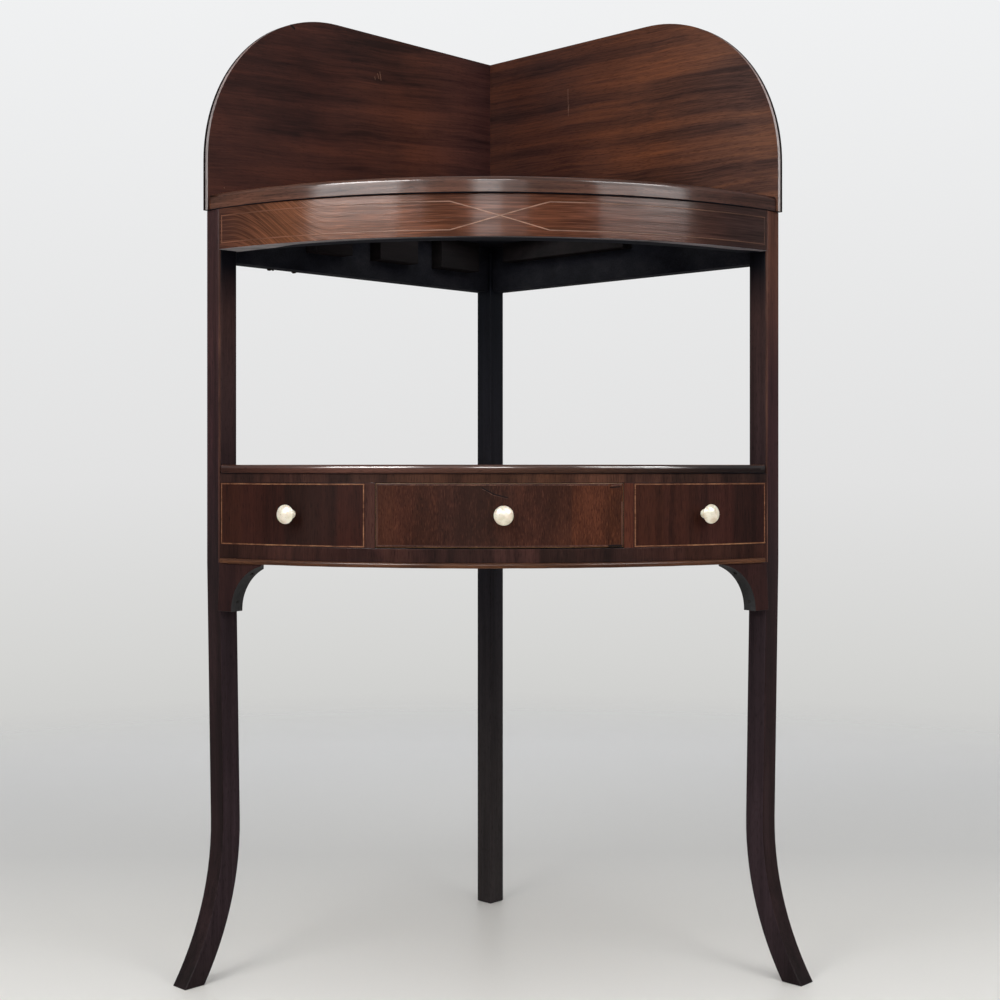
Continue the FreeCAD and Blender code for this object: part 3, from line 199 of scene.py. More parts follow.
@dataclass(frozen=True)
class Timber(Finish):
    """Wood cut, finished and aged, of any colour; lengths in mm.

    The eye gets long streaks of darker and lighter wood, fine fibres, short open pores, and a
    sheen that old wax and handling leave uneven. Fibres and pores of mahogany are 0.1 to 0.3 mm
    wide; they are drawn several times as coarse so that they show at this size. Boards of
    different seeds come from different places in the trunk, trunk_step apart for each 1 of seed.
    """
    grain: Grain
    seed: float = 0.0
    trunk_step: tuple[float, float, float] = (370, 210, 130)
    bowed: bool = False
    streak_width: float = 13
    streak_length: float = 420
    broad_share: float = 0.28
    broad_width: float = 4
    broad_length: float = 1.6
    fibre_share: float = 0.3
    fibre_width: float = 1.5
    fibre_length: float = 55
    pore_width: float = 0.8
    pore_length: float = 7
    pore_depth: float = 0.45
    pore_tint: str = "#60504c"
    fleck: float = 0.0
    fleck_width: float = 1.4
    fleck_length: float = 1.5
    cloud: float = 0.22
    cloud_size: tuple[float, float] = (140, 60)
    waver: float = 5
    waver_length: float = 170
    slope: float = 0.0
    slope_zone: tuple[float, float] = (-1000, 1000)
    slope_blend: Blend = Blend.EVEN
    handled_size: tuple[float, float] = (130, 90)
    roughness: float = 0.42
    smoother: float = 0.06
    rougher: float = 0.1
    gloss: float = 0.03
    gloss_tint: str = "#ffffff"
    polish: float = 0.0
    polish_roughness: float = 0.14
    polish_patches: float = 0.3
    bump: float = 0.35
    bump_height: float = 0.12

    def _shader(self, tree: NodeTree, place: NodeSocket) -> Node:
        """Adds the nodes of the wood.

        Args:
            tree: tree of the material.
            place: place on the object.

        Returns:
            The shader.
        """
        flat = self._unroll(tree, place) if self.bowed else place
        board = add_node(tree, "ShaderNodeMapping", None, {
            "Vector": flat, "Rotation": [math.radians(angle) for angle in self.grain.value],
            "Location": self._start()}).outputs[0]
        waver = self._waver(tree, board)
        streak = self._grain(tree, waver, self.streak_length, self.streak_width, detail=4)
        fibre = self._grain(tree, waver, self.fibre_length, self.fibre_width)
        pore = self._grain(tree, board, self.pore_length, self.pore_width,
                           detail=0, low=0.6, high=0.74)
        colour = self._colour(tree, place, self._tone(tree, board, waver, streak, fibre))
        pored = add_node(tree, "ShaderNodeMath", {"operation": "MULTIPLY"},
                         {0: pore, 1: self.pore_depth})
        colour = add_node(tree, "ShaderNodeMix", {"data_type": "RGBA", "blend_type": "MULTIPLY"}, {
            0: pored.outputs[0], MIX_A: colour, MIX_B: linear(self.pore_tint)}).outputs[MIX_RESULT]
        handled = self._grain(tree, board, *self.handled_size)
        rough = add_node(tree, "ShaderNodeMapRange", None, {
            "Value": handled, "To Min": self.roughness - self.smoother,
            "To Max": self.roughness + self.rougher})
        height = add_node(tree, "ShaderNodeMath", {"operation": "SUBTRACT"}, {0: fibre, 1: pore})
        bump = add_node(tree, "ShaderNodeBump", None, {
            "Strength": self.bump, "Distance": self.bump_height * MM, "Height": height.outputs[0]})
        polish = add_node(tree, "ShaderNodeMapRange", None, {
            "Value": streak, "To Min": self.polish * (1 - self.polish_patches),
            "To Max": self.polish * (1 + self.polish_patches)}).outputs[0] if self.polish else 0.0
        return add_node(tree, "ShaderNodeBsdfPrincipled", None, {
            "Base Color": colour, "Roughness": rough.outputs[0], "Specular IOR Level": self.gloss,
            "Specular Tint": linear(self.gloss_tint), "Coat Weight": polish,
            "Coat Roughness": self.polish_roughness, "Normal": bump.outputs[0]})

    def _start(self) -> tuple[float, ...]:
        """Where in the trunk the board was cut, in metres, so that no two boards are alike."""
        return tuple(self.seed * step * MM for step in self.trunk_step)

    def _unroll(self, tree: NodeTree, place: NodeSocket) -> NodeSocket:
        """Rolls the bowed front out flat, so that the grain runs round it.

        Args:
            tree: tree of the material.
            place: place on the object.

        Returns:
            The place along the bow, out from its centre, and up.
        """
        parts = add_node(tree, "ShaderNodeSeparateXYZ", None, {0: place}).outputs
        ahead = add_node(tree, "ShaderNodeMath", {"operation": "SUBTRACT"},
                         {0: BOW.centre_y, 1: parts[1]}).outputs[0]
        angle = add_node(tree, "ShaderNodeMath", {"operation": "ARCTAN2"}, {0: parts[0], 1: ahead})
        along = add_node(tree, "ShaderNodeMath", {"operation": "MULTIPLY"},
                         {0: angle.outputs[0], 1: BOW.radius}).outputs[0]
        arm = add_node(tree, "ShaderNodeCombineXYZ", None, {0: parts[0], 1: ahead}).outputs[0]
        reach = add_node(tree, "ShaderNodeVectorMath", {"operation": "LENGTH"}, {0: arm})
        return add_node(tree, "ShaderNodeCombineXYZ", None,
                        {0: along, 1: reach.outputs["Value"], 2: parts[2]}).outputs[0]

    def _waver(self, tree: NodeTree, board: NodeSocket) -> NodeSocket:
        """Bends the grain as a trunk's waves do, and slopes it where it runs off the board's line.

        Args:
            tree: tree of the material.
            board: place on the board, with the grain along X.

        Returns:
            The place, moved across the grain.
        """
        slow = add_node(tree, "ShaderNodeMapping", None, {
            "Vector": board, "Scale": [1 / (self.waver_length * MM)] * 3})
        wave = add_node(tree, "ShaderNodeTexNoise", {"noise_dimensions": "3D"},
                        {"Vector": slow.outputs[0], "Scale": 1.0, "Detail": 2.0, "Roughness": 0.5})
        centred = add_node(tree, "ShaderNodeVectorMath", {"operation": "SUBTRACT"},
                           {0: wave.outputs["Color"], 1: (0.5, 0.5, 0.5)})
        reach = self.waver * MM * 2
        moved = add_node(tree, "ShaderNodeVectorMath", {"operation": "MULTIPLY_ADD"},
                         {0: centred.outputs[0], 1: (0.0, reach, reach), 2: board}).outputs[0]
        if not self.slope:
            return moved
        parts = add_node(tree, "ShaderNodeSeparateXYZ", None, {0: moved})
        start, end = (self._start()[0] + edge * MM for edge in self.slope_zone)
        blend = {"interpolation_type": self.slope_blend.value}
        leaning = add_node(tree, "ShaderNodeMapRange", blend, {
            "Value": parts.outputs[0], "From Min": start, "From Max": end,
            "To Min": self.slope * start, "To Max": self.slope * end})
        raised = add_node(tree, "ShaderNodeMath", {"operation": "SUBTRACT"},
                          {0: parts.outputs[2], 1: leaning.outputs[0]})
        return add_node(tree, "ShaderNodeCombineXYZ", None,
                        {0: parts.outputs[0], 1: parts.outputs[1], 2: raised.outputs[0]}).outputs[0]

    def _grain(self, tree: NodeTree, board: NodeSocket, length: float, width: float,
               detail: float = 3, low: float = 0.3, high: float = 0.7) -> NodeSocket:
        """Adds one layer of grain.

        Args:
            tree: tree of the material.
            board: place on the board, with the grain along X.
            length: length of its marks in mm.
            width: width of its marks in mm.
            detail: finer layers within it.
            low: noise that becomes 0.
            high: noise that becomes 1.

        Returns:
            The layer, from 0 to 1.
        """
        scale = (1 / (length * MM), 1 / (width * MM), 1 / (width * MM))
        stretched = add_node(tree, "ShaderNodeMapping", None, {"Vector": board, "Scale": scale})
        layer = add_node(tree, "ShaderNodeTexNoise", {"noise_dimensions": "3D"}, {
            "Vector": stretched.outputs[0], "Scale": 1.0, "Detail": detail, "Roughness": 0.55})
        return add_node(tree, "ShaderNodeMapRange", {"clamp": True},
                        {"Value": layer.outputs[0], "From Min": low, "From Max": high}).outputs[0]

    def _tone(self, tree: NodeTree, board: NodeSocket, waver: NodeSocket, streak: NodeSocket,
              fibre: NodeSocket) -> NodeSocket:
        """Adds the layers of grain up by their shares.

        Args:
            tree: tree of the material.
            board: place on the board, with the grain along X.
            waver: the same place, moved across the grain.
            streak: layer of streaks.
            fibre: layer of fibres.

        Returns:
            How light the grain is, from 0 to 1.
        """
        broad = self._grain(tree, waver, self.streak_length * self.broad_length,
                            self.streak_width * self.broad_width, detail=2, low=0.35, high=0.65)
        cloud = self._grain(tree, board, *self.cloud_size)
        rest = 1 - self.cloud
        tone = 0.0
        for layer, share in ((streak, (1 - self.fibre_share - self.broad_share) * rest),
                             (broad, self.broad_share * rest), (fibre, self.fibre_share * rest),
                             (cloud, self.cloud)):
            tone = add_node(tree, "ShaderNodeMath", {"operation": "MULTIPLY_ADD"},
                            {0: layer, 1: share, 2: tone}).outputs[0]
        if not self.fleck:
            return tone
        fleck = self._grain(tree, waver, self.pore_length * self.fleck_length,
                            self.pore_width * self.fleck_width, detail=1, low=0.5, high=0.72)
        lift = add_node(tree, "ShaderNodeMath", {"operation": "MULTIPLY_ADD"},
                        {0: fleck, 1: self.fleck, 2: -self.fleck / 2}).outputs[0]
        return add_node(tree, "ShaderNodeMath", {"operation": "ADD", "use_clamp": True},
                        {0: tone, 1: lift}).outputs[0]

    @abstractmethod
    def _colour(self, tree: NodeTree, place: NodeSocket, tone: NodeSocket) -> NodeSocket:
        """Colours the wood.

        Args:
            tree: tree of the material.
            place: place on the object.
            tone: how light the grain is, from 0 to 1.

        Returns:
            The colour.
        """


@dataclass(frozen=True, kw_only=True)
class Wood(Timber):
    """Wood of one colour throughout, given by its dark, middle and light grain."""
    tones: tuple[str, str, str]

    def _colour(self, tree: NodeTree, place: NodeSocket, tone: NodeSocket) -> NodeSocket:
        """Runs from the dark to the light grain.

        Args:
            tree: tree of the material.
            place: place on the object; not used.
            tone: how light the grain is, from 0 to 1.

        Returns:
            The colour.
        """
        ramp = add_node(tree, "ShaderNodeValToRGB", None, {"Fac": tone})
        set_ramp(ramp, list(zip((0.22, 0.5, 0.8), self.tones)))
        return ramp.outputs["Color"]


@dataclass(frozen=True, kw_only=True)
class Veneer(Timber):
    """Wood whose tone changes along X or Z; lengths in mm.

    With a short blend the eye gets leaves of veneer laid side by side, each with its own tone
    and a crisp joint; with a long one, a board that darkens from one end to the other. With a
    lean the dark streaks turn greyer and the light ones more golden.
    """
    leaves: tuple[tuple[float, str], ...]
    blend: float = 0.8
    axis: int = 0
    contrast: float = 0.5
    lightening: float = 1.25
    lean: tuple[str, str] | None = None

    def _colour(self, tree: NodeTree, place: NodeSocket, tone: NodeSocket) -> NodeSocket:
        """Gives each leaf its colour and lets the grain lighten and darken it.

        Args:
            tree: tree of the material.
            place: place on the object.
            tone: how light the grain is, from 0 to 1.

        Returns:
            The colour.
        """
        first, last = self.leaves[0][0] - 1, self.leaves[-1][0] + 1
        parts = add_node(tree, "ShaderNodeSeparateXYZ", None, {0: place})
        share = add_node(tree, "ShaderNodeMapRange", None, {
            "Value": parts.outputs[self.axis], "From Min": first * MM, "From Max": last * MM})
        ramp = add_node(tree, "ShaderNodeValToRGB", None, {"Fac": share.outputs[0]})
        stops = []
        for index, (start, code) in enumerate(self.leaves):
            if index:
                before = max(start - self.blend, self.leaves[index - 1][0])
                stops.append(((before - first) / (last - first), self.leaves[index - 1][1]))
            stops.append(((start - first) / (last - first), code))
        set_ramp(ramp, stops)
        shade = add_node(tree, "ShaderNodeMapRange", None, {
            "Value": tone, "From Min": 0.25, "From Max": 0.75,
            "To Min": 1 - self.contrast, "To Max": 1 + self.contrast * self.lightening})
        shaded = add_node(tree, "ShaderNodeVectorMath", {"operation": "SCALE"},
                          {0: ramp.outputs["Color"], "Scale": shade.outputs[0]}).outputs[0]
        if not self.lean:
            return shaded
        leaning = add_node(tree, "ShaderNodeValToRGB", None, {"Fac": tone})
        set_ramp(leaning, list(zip((0.3, 0.7), self.lean)))
        return add_node(tree, "ShaderNodeVectorMath", {"operation": "MULTIPLY"},
                        {0: shaded, 1: leaning.outputs["Color"]}).outputs[0]


@dataclass(frozen=True)
class Bone(Finish):
    """Turned and polished bone: warm white, with fine brown specks where its canals end.

    The canals are about 0.1 mm wide; they are drawn three times as wide to show.
    """
    name: str = "bone turned and polished"
    pale: str = "#e6decb"
    deep: str = "#d3c7ad"
    speck: str = "#8a7048"
    clouds_per_mm: float = 0.16
    specks_per_mm: float = 1.1
    speck_depth: float = 0.1
    light_reach: float = 1.5
    roughness: float = 0.33

    def _shader(self, tree: NodeTree, place: NodeSocket) -> Node:
        """Adds the nodes of the bone.

        Args:
            tree: tree of the material.
            place: place on the object.

        Returns:
            The shader.
        """
        cloud = add_node(tree, "ShaderNodeTexNoise", None,
                         {"Vector": place, "Scale": self.clouds_per_mm / MM, "Detail": 3.0})
        body = add_node(tree, "ShaderNodeValToRGB", None, {"Fac": cloud.outputs[0]})
        set_ramp(body, [(0.35, self.deep), (0.6, self.pale)])
        dots = add_node(tree, "ShaderNodeTexNoise", None,
                        {"Vector": place, "Scale": self.specks_per_mm / MM, "Detail": 0.0})
        spots = add_node(tree, "ShaderNodeMapRange", None, {
            "Value": dots.outputs[0], "From Min": 0.71, "From Max": 0.8, "To Max": 0.7})
        colour = add_node(tree, "ShaderNodeMix", {"data_type": "RGBA"}, {
            0: spots.outputs[0], MIX_A: body.outputs[0], MIX_B: linear(self.speck)})
        bump = add_node(tree, "ShaderNodeBump", {"invert": True}, {
            "Strength": 0.3, "Distance": self.speck_depth * MM, "Height": spots.outputs[0]})
        return add_node(tree, "ShaderNodeBsdfPrincipled", None, {
            "Base Color": colour.outputs[MIX_RESULT], "Roughness": self.roughness,
            "Subsurface Weight": 0.12, "Subsurface Scale": self.light_reach * MM,
            "Normal": bump.outputs[0]})


@dataclass(frozen=True)
class Iron(Finish):
    """Hand-cut iron nails, rusted: dull brown-black with rust spots 1 to 3 mm wide."""
    name: str = "iron cut and rusted"
    dark: str = "#0c0a09"
    rust: str = "#1f1511"
    spot: float = 2.0
    pitting: float = 0.2

    def _shader(self, tree: NodeTree, place: NodeSocket) -> Node:
        """Adds the nodes of the iron.

        Args:
            tree: tree of the material.
            place: place on the object.

        Returns:
            The shader.
        """
        cloud = add_node(tree, "ShaderNodeTexNoise", None,
                         {"Vector": place, "Scale": 1 / (self.spot * MM), "Detail": 3.0})
        ramp = add_node(tree, "ShaderNodeValToRGB", None, {"Fac": cloud.outputs[0]})
        set_ramp(ramp, [(0.42, self.dark), (0.65, self.rust)])
        bump = add_node(tree, "ShaderNodeBump", None, {
            "Strength": 0.5, "Distance": self.pitting * MM, "Height": cloud.outputs[0]})
        return add_node(tree, "ShaderNodeBsdfPrincipled", None, {
            "Base Color": ramp.outputs[0], "Roughness": 0.8, "Metallic": 0.2,
            "Specular IOR Level": 0.2, "Normal": bump.outputs[0]})


def cut_leaves(start: float, end: float, width: float, broad: tuple[str, str, str],
               spread: float, seed: int) -> tuple[tuple[float, str], ...]:
    """Cuts the veneer of a front into leaves of uneven width, each a little lighter or darker.

    Args:
        start: where the first leaf starts, in mm.
        end: where the last leaf ends, in mm.
        width: usual width of a leaf in mm.
        broad: tone of the wood at the start, in the middle and at the end.
        spread: how much lighter or darker a leaf may be, as a share.
        seed: seed of the leaves' widths and tones.

    Returns:
        The start and the tone of each leaf.
    """
    chooser = random.Random(seed)
    leaves = []
    place = start
    while place < end and len(leaves) < MOST_LEAVES:
        share = 2 * (place - start) / (end - start)
        first, second = broad[:2] if share < 1 else broad[1:]
        factor = 1 + chooser.uniform(-spread, spread)
        bytes_of = (bytes.fromhex(first[1:]), bytes.fromhex(second[1:]))
        mixed = [round(factor * (one + (two - one) * (share % 1))) for one, two in zip(*bytes_of)]
        leaves.append((place, "#" + bytes(mixed).hex()))
        place += width * chooser.uniform(0.6, 1.4)
    return tuple(leaves)


# Mahogany boards, French polished and waxed for many years: red-brown, with broad dark streaks
SPLASH_LEFT = Veneer(
    "mahogany board polished, left splashback", Grain.LEFT_SIDE, 3.1, streak_width=9,
    streak_length=380, waver=7, cloud=0.35, slope=0.07, pore_depth=0.3, blend=110, contrast=0.62,
    lean=("#f0f2f8", "#fff8e6"),
    leaves=((-300, "#381e19"), (-90, "#41241c"), (-15, "#38201e")))
SPLASH_RIGHT = Veneer(
    "mahogany board polished, right splashback", Grain.RIGHT_SIDE, 7.7, streak_width=6,
    streak_length=520, fibre_width=1.1, fibre_length=80, waver=6, cloud=0.2, broad_share=0.4,
    pore_depth=0.3, slope=-0.03, blend=110, contrast=0.6, lean=("#e6e9f2", "#fff3d4"),
    leaves=((5, "#3c221c"), (190, "#563325"), (270, "#563a32")))
# Painted highlight: pale grey-pink on the inner part of the splashback's edges, fading to dark
# towards their top
EDGE_HIGHLIGHT_PAINTED = Veneer(
    "mahogany edge rubbed pale", Grain.UPRIGHT, 16.1, blend=60, axis=2, roughness=0.4,
    contrast=0.35,
    leaves=((800, "#9a9290"), (930, "#968682"), (985, "#6b544e"), (1018, "#2a1a18")))
# Painted shade: near black on the outer strip and arris of the splashback's edges
RIM_SHADE_PAINTED = Wood(
    "mahogany arris in painted shade", Grain.UPRIGHT, 16.7, tones=("#0d0808", "#150d0e", "#1f1414"),
    gloss=0.01)
TOP_FACE = Wood(
    "mahogany board polished, top", Grain.ALONG_FRONT, 1.3, tones=("#35190f", "#57301e", "#7c5034"),
    roughness=0.4, polish=0.1, pore_depth=0.3)
# Its tone darkens from left to right, partly the wood's own and partly painted shade, as the lamps
# on the left light it more
TOP_EDGE = Veneer(
    "mahogany edge polished, top", Grain.ALONG_FRONT, 2.9, bowed=True, streak_width=4,
    streak_length=160, polish=0.19, polish_roughness=0.12, contrast=0.55, blend=150,
    leaves=((-290, "#4d2f22"), (0, "#41261a"), (245, "#341d16")))
# Its tone darkens from left to right, partly the veneer's own and partly painted shade, as the
# lamps on the left light it more
FRIEZE = Veneer(
    "mahogany veneer polished, frieze", Grain.ALONG_FRONT, 5.5, bowed=True, streak_width=2.4,
    streak_length=150, broad_share=0.15, fibre_width=0.9, fibre_length=45, pore_length=30,
    pore_width=0.7, pore_depth=0.12, fleck=0.3, waver=4, waver_length=140, slope=-0.55,
    slope_zone=(-290, -165), slope_blend=Blend.GENTLE, cloud=0.25, roughness=0.17, gloss=0.06,
    gloss_tint="#ffdccf", polish=0.13, polish_roughness=0.11, polish_patches=0.5, contrast=0.45,
    blend=200,
    leaves=((-284, "#45261b"), (-205, "#6e4229"), (-40, "#58311f"), (245, "#2b1a17")))
LEG = Veneer(
    "mahogany post polished", Grain.UPRIGHT, 4.2, streak_width=7, blend=130, axis=2, polish=0.04,
    contrast=0.45,
    leaves=((0, "#1a1212"), (60, "#231617"), (560, "#301b1d"), (700, "#362020")))
# Inner faces of the front legs: dark throughout, and near black at the top as painted shade under
# the frieze
LEG_INSIDE = Veneer(
    "mahogany post dark with old wax", Grain.UPRIGHT, 6.2, streak_width=7, blend=260, axis=2,
    contrast=0.35,
    leaves=((0, "#1f1819"), (70, "#2a2023"), (690, "#362422"), (742, "#0b0a0f")))
LEG_RIGHT = replace(
    LEG, name="mahogany post polished, browner at its top",
    leaves=LEG.leaves[:-1] + ((750, "#492c22"),))
# Darker towards the top: greyish at the foot, near black under the top
REAR_LEG = Veneer(
    "mahogany post dark with dust", Grain.UPRIGHT, 9.2, streak_width=6, blend=250, axis=2,
    contrast=0.3,
    leaves=((0, "#2b2727"), (400, "#1d1b1f"), (720, "#13151b")))
DUMMY_LEFT = Veneer(
    "mahogany veneer polished, left dummy front", Grain.UPRIGHT, 8.4, streak_width=9,
    fibre_length=30, polish=0.03, fleck=0.12, contrast=0.35, blend=4,
    leaves=cut_leaves(-285, -125, 27, ("#33170f", "#29130e", "#2a120b"), 0.2, 3))
DUMMY_RIGHT = Veneer(
    "mahogany veneer polished, right dummy front", Grain.UPRIGHT, 8.9, streak_width=9,
    fibre_length=30, polish=0.03, fleck=0.15, contrast=0.4, blend=5,
    leaves=cut_leaves(138, 285, 28, ("#33180f", "#2d1611", "#2a1511"), 0.12, 5))
DRAWER_FACE = Veneer(
    "mahogany veneer polished, drawer front", Grain.UPRIGHT, 9.6, streak_width=16,
    streak_length=120, fibre_width=1.0, fibre_length=12, pore_length=4, fleck=0.3, cloud=0.3,
    polish=0.04, contrast=0.45,
    leaves=cut_leaves(-119, 134, 28, ("#3d1f14", "#42241a", "#482414"), 0.12, 7))
STILE = Veneer(
    "mahogany stile polished", Grain.UPRIGHT, 10.3, fibre_length=20, polish=0.03,
    leaves=((-128, "#38201a"), (0, "#472317"), (138, "#472317")))
UPPER_RAIL = Veneer(
    "mahogany crossbanding polished, upper rail", Grain.UPRIGHT, 11.3, streak_width=9,
    fibre_length=20, polish=0.06, blend=3,
    leaves=cut_leaves(-285, 285, 44, ("#2e1a15", "#452a1d", "#281713"), 0.16, 11))
LOWER_RAIL = Veneer(
    "mahogany crossbanding polished, lower rail", Grain.UPRIGHT, 12.1, streak_width=9,
    fibre_length=20, polish=0.03, blend=3,
    leaves=cut_leaves(-285, 285, 44, ("#2f1914", "#301c18", "#28150f"), 0.16, 13))
SHELF_TOP = Wood(
    "mahogany board polished, shelf", Grain.ALONG_FRONT, 12.2,
    tones=("#33180f", "#502c1c", "#70472f"), polish=0.1, pore_depth=0.3)
NOSING = Veneer(
    "mahogany nosing polished, shelf", Grain.ALONG_FRONT, 12.8, bowed=True, polish=0.42,
    polish_roughness=0.12, blend=135,
    leaves=((-285, "#28130d"), (-150, "#4a2f27"), (20, "#38231a"), (240, "#1a0f0e")))
NOSING_FACE = replace(NOSING, name="mahogany nosing rubbed dull, shelf", polish=0.12)
BEAD = Wood(
    "mahogany moulding polished, bead", Grain.ALONG_FRONT, 13.4,
    tones=("#2d1810", "#482c1d", "#64402a"), bowed=True, streak_width=4, streak_length=90,
    polish=0.08)
BRACKET = Wood(
    "mahogany block polished, bracket", Grain.UPRIGHT, 14.9,
    tones=("#1f1112", "#2c1a19", "#3a2320"))
# Painted shade: grey-black on the brackets' hollow edges
BRACKET_HOLLOW_SHADE = Wood(
    "mahogany block, hollow edge in painted shade", Grain.UPRIGHT, 15.5, tones=("#121112", "#1a191a", "#272425"),
    roughness=0.6, gloss=0.2)

# Faces that were never polished: sawn and left dry; inside, black with painted shade; under the
# frieze, grey with a painted highlight
DRY_LEFT = Wood(
    "mahogany sawn and left dry, left side", Grain.LEFT_SIDE, 17.2,
    tones=("#2c1d15", "#48301f", "#664730"), roughness=0.72, gloss=0.2, bump=0.8)
DRY_RIGHT = replace(DRY_LEFT, name="mahogany sawn and left dry, right side", grain=Grain.RIGHT_SIDE,
                    seed=18.2)
DRY_UPRIGHT = replace(DRY_LEFT, name="mahogany sawn and left dry, upright", grain=Grain.UPRIGHT,
                      seed=19.2, tones=("#261a14", "#3f2b1e", "#5a402c"))
# Painted shade: near black on inside faces, undersides and backs
INSIDE_SHADE_PAINTED = Wood(
    "mahogany inside, black with painted shade", Grain.ALONG_FRONT, 20.2,
    tones=("#111116", "#191a20", "#242328"), roughness=0.85, gloss=0.03)
# Underside of the frieze: grey sawn wood, with a painted highlight that is brightest towards both
# ends
UNDER_FRIEZE = Veneer(
    "mahogany sawn edge, grey with dust", Grain.ALONG_FRONT, 21.2, roughness=0.75, gloss=0.2,
    blend=284,
    leaves=((-284, "#827d7d"), (0, "#3f393a"), (284, "#756d6f")))
# Secondary timbers, planed and left bare
# Painted shade: the pine glue blocks under the top drawn near black
PINE_IN_SHADE = Wood(
    "pine planed, glue blocks in painted shade", Grain.LEFT_SIDE, 22.2,
    tones=("#0d0a0b", "#131011", "#1b1617"), roughness=0.8, pore_depth=0.1)
PINE_BOARD = Wood(
    "pine planed, tier bottom", Grain.ALONG_FRONT, 23.2, tones=("#5e4128", "#7d5a38", "#9a744b"),
    streak_width=16, roughness=0.75, gloss=0.15, pore_depth=0.1)
OAK_SIDE = Wood(
    "oak planed, drawer sides", Grain.FRONT_TO_BACK, 24.2, tones=("#6b4a2b", "#8c6740", "#a98458"),
    streak_width=8, roughness=0.65, gloss=0.25, pore_depth=0.6)
OAK_ACROSS = replace(OAK_SIDE, name="oak planed, drawer back and bottom", grain=Grain.ALONG_FRONT,
                     seed=25.2)

# Lines let into the fronts, marks of use, old glue, knobs and nails
BOXWOOD_FRIEZE = Veneer(
    "boxwood line waxed, frieze", Grain.ALONG_FRONT, 26.2, bowed=True, streak_width=3,
    streak_length=30, pore_depth=0.1, polish=0.1, contrast=0.45, blend=200,
    leaves=((-284, "#653f2c"), (0, "#92705e"), (140, "#583c2d"), (284, "#452d22")))
BOXWOOD = Wood(
    "boxwood line waxed, fronts", Grain.ALONG_FRONT, 26.7, tones=("#4d3022", "#79513a", "#9c7050"),
    streak_width=4, streak_length=45, pore_depth=0.1)
BOXWOOD_DULL = Wood(
    "boxwood line dark with wax", Grain.UPRIGHT, 27.2, tones=("#33211d", "#4a3029", "#68483a"),
    streak_width=3, streak_length=60, pore_depth=0.1)
CRACK = Wood(
    "crack filled with dirt", Grain.ALONG_FRONT, 28.2, tones=("#0b0706", "#120b09", "#1a110d"),
    roughness=0.9, gloss=0.05)
SCRATCH = Wood(
    "scratch down to bare wood", Grain.UPRIGHT, 29.2, tones=("#5a3a2c", "#745140", "#8c6a56"),
    roughness=0.7)
GLUE = Wood(
    "hide glue, run and hardened", Grain.ALONG_FRONT, 30.2, tones=("#140f0d", "#1e1713", "#2c221b"),
    roughness=0.5)
BONE = Bone()
IRON = Iron()


@dataclass(frozen=True)
class Bow:
    """Circle of the bowed front in plan, in metres."""
    arris_x: float = 0.28444
    rise: float = 0.09844
    front_y: float = -0.19885

    @property
    def radius(self) -> float:
        """Radius of the bowed face."""
        return (self.arris_x ** 2 + self.rise ** 2) / (2 * self.rise)

    @property
    def centre_y(self) -> float:
        """Y of the circle's centre."""
        return self.front_y + self.radius

    def outward(self, x: float) -> Vector:
        """Direction that the face looks in at x."""
        sine = x / self.radius
        return Vector((sine, -math.sqrt(1 - sine * sine), 0))

    def point(self, x: float, z: float, proud: float = 0.0) -> Vector:
        """Point of the face.

        Args:
            x: place along the front.
            z: height.
            proud: distance out from the face.

        Returns:
            The point.
        """
        face = self.outward(x)
        return Vector((0, self.centre_y, z)) + face * (self.radius + proud)


BOW = Bow()

# Signs of the two sides, and their finish to the wall
SIDES = {"left": 1, "right": -1}
DRY_SIDES = {1: DRY_LEFT, -1: DRY_RIGHT}

# Outer corners of the front legs in plan, in mm
CORNER_X, CORNER_Y = 300.0, -84.85


@dataclass(frozen=True)
class BoardFace:
    """Inner face of a splashback board, at 45 degrees to the front; metres.

    Its sign is 1 for the left board and -1 for the right one.
    """
    sign: int
    meeting_y: float = 0.20384

    def outward(self, x: float) -> Vector:
        """Direction that the face looks in, the same at every x."""
        return Vector((self.sign, -1, 0)).normalized()

    def point(self, x: float, z: float, proud: float = 0.0) -> Vector:
        """Point of the face.

        Args:
            x: place along the front.
            z: height.
            proud: distance out from the face.

        Returns:
            The point.
        """
        return Vector((x, self.meeting_y + self.sign * x, z)) + self.outward(x) * proud


def finish_piece(piece: Object, body: Body, nodes: tuple[str, ...] = ()) -> None:
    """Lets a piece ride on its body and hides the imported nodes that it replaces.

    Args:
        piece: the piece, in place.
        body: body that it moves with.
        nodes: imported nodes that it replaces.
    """
    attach(piece, body.value)
    if nodes:
        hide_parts(*nodes)
    log.info("%s rides on %s", piece.name, body.value)


def new_piece(name: str, mesh: Mesh, finishes: list[Finish]) -> Object:
    """Puts a mesh with its finishes into the scene.

    Args:
        name: name of the piece.
        mesh: its mesh, with its place in its points.
        finishes: finishes in the order of the faces' material numbers.

    Returns:
        The piece.
    """
    if not mesh.materials:
        for finish in finishes:
            mesh.materials.append(finish.material())
    piece = bpy.data.objects.new(name, mesh)
    bpy.context.scene.collection.objects.link(piece)
    return piece


def smooth(mesh: Mesh, angle: float = 32) -> None:
    """Shades a mesh smooth, apart from edges sharper than an angle in degrees."""
    mesh.shade_smooth()
    mesh.set_sharp_from_angle(angle=math.radians(angle))


def piece_from(form: BMesh, name: str, finishes: list[Finish], angle: float = 32) -> Object:
    """Turns a form into a smooth piece, and uses the form up.

    Args:
        form: the form, in place.
        name: name of the piece.
        finishes: finishes in the order of the faces' material numbers.
        angle: bluntest angle between faces, in degrees, that still makes a sharp edge.

    Returns:
        The piece.
    """
    mesh = bpy.data.meshes.new(name)
    form.to_mesh(mesh)
    form.free()
    smooth(mesh, angle)
    return new_piece(name, mesh, finishes)


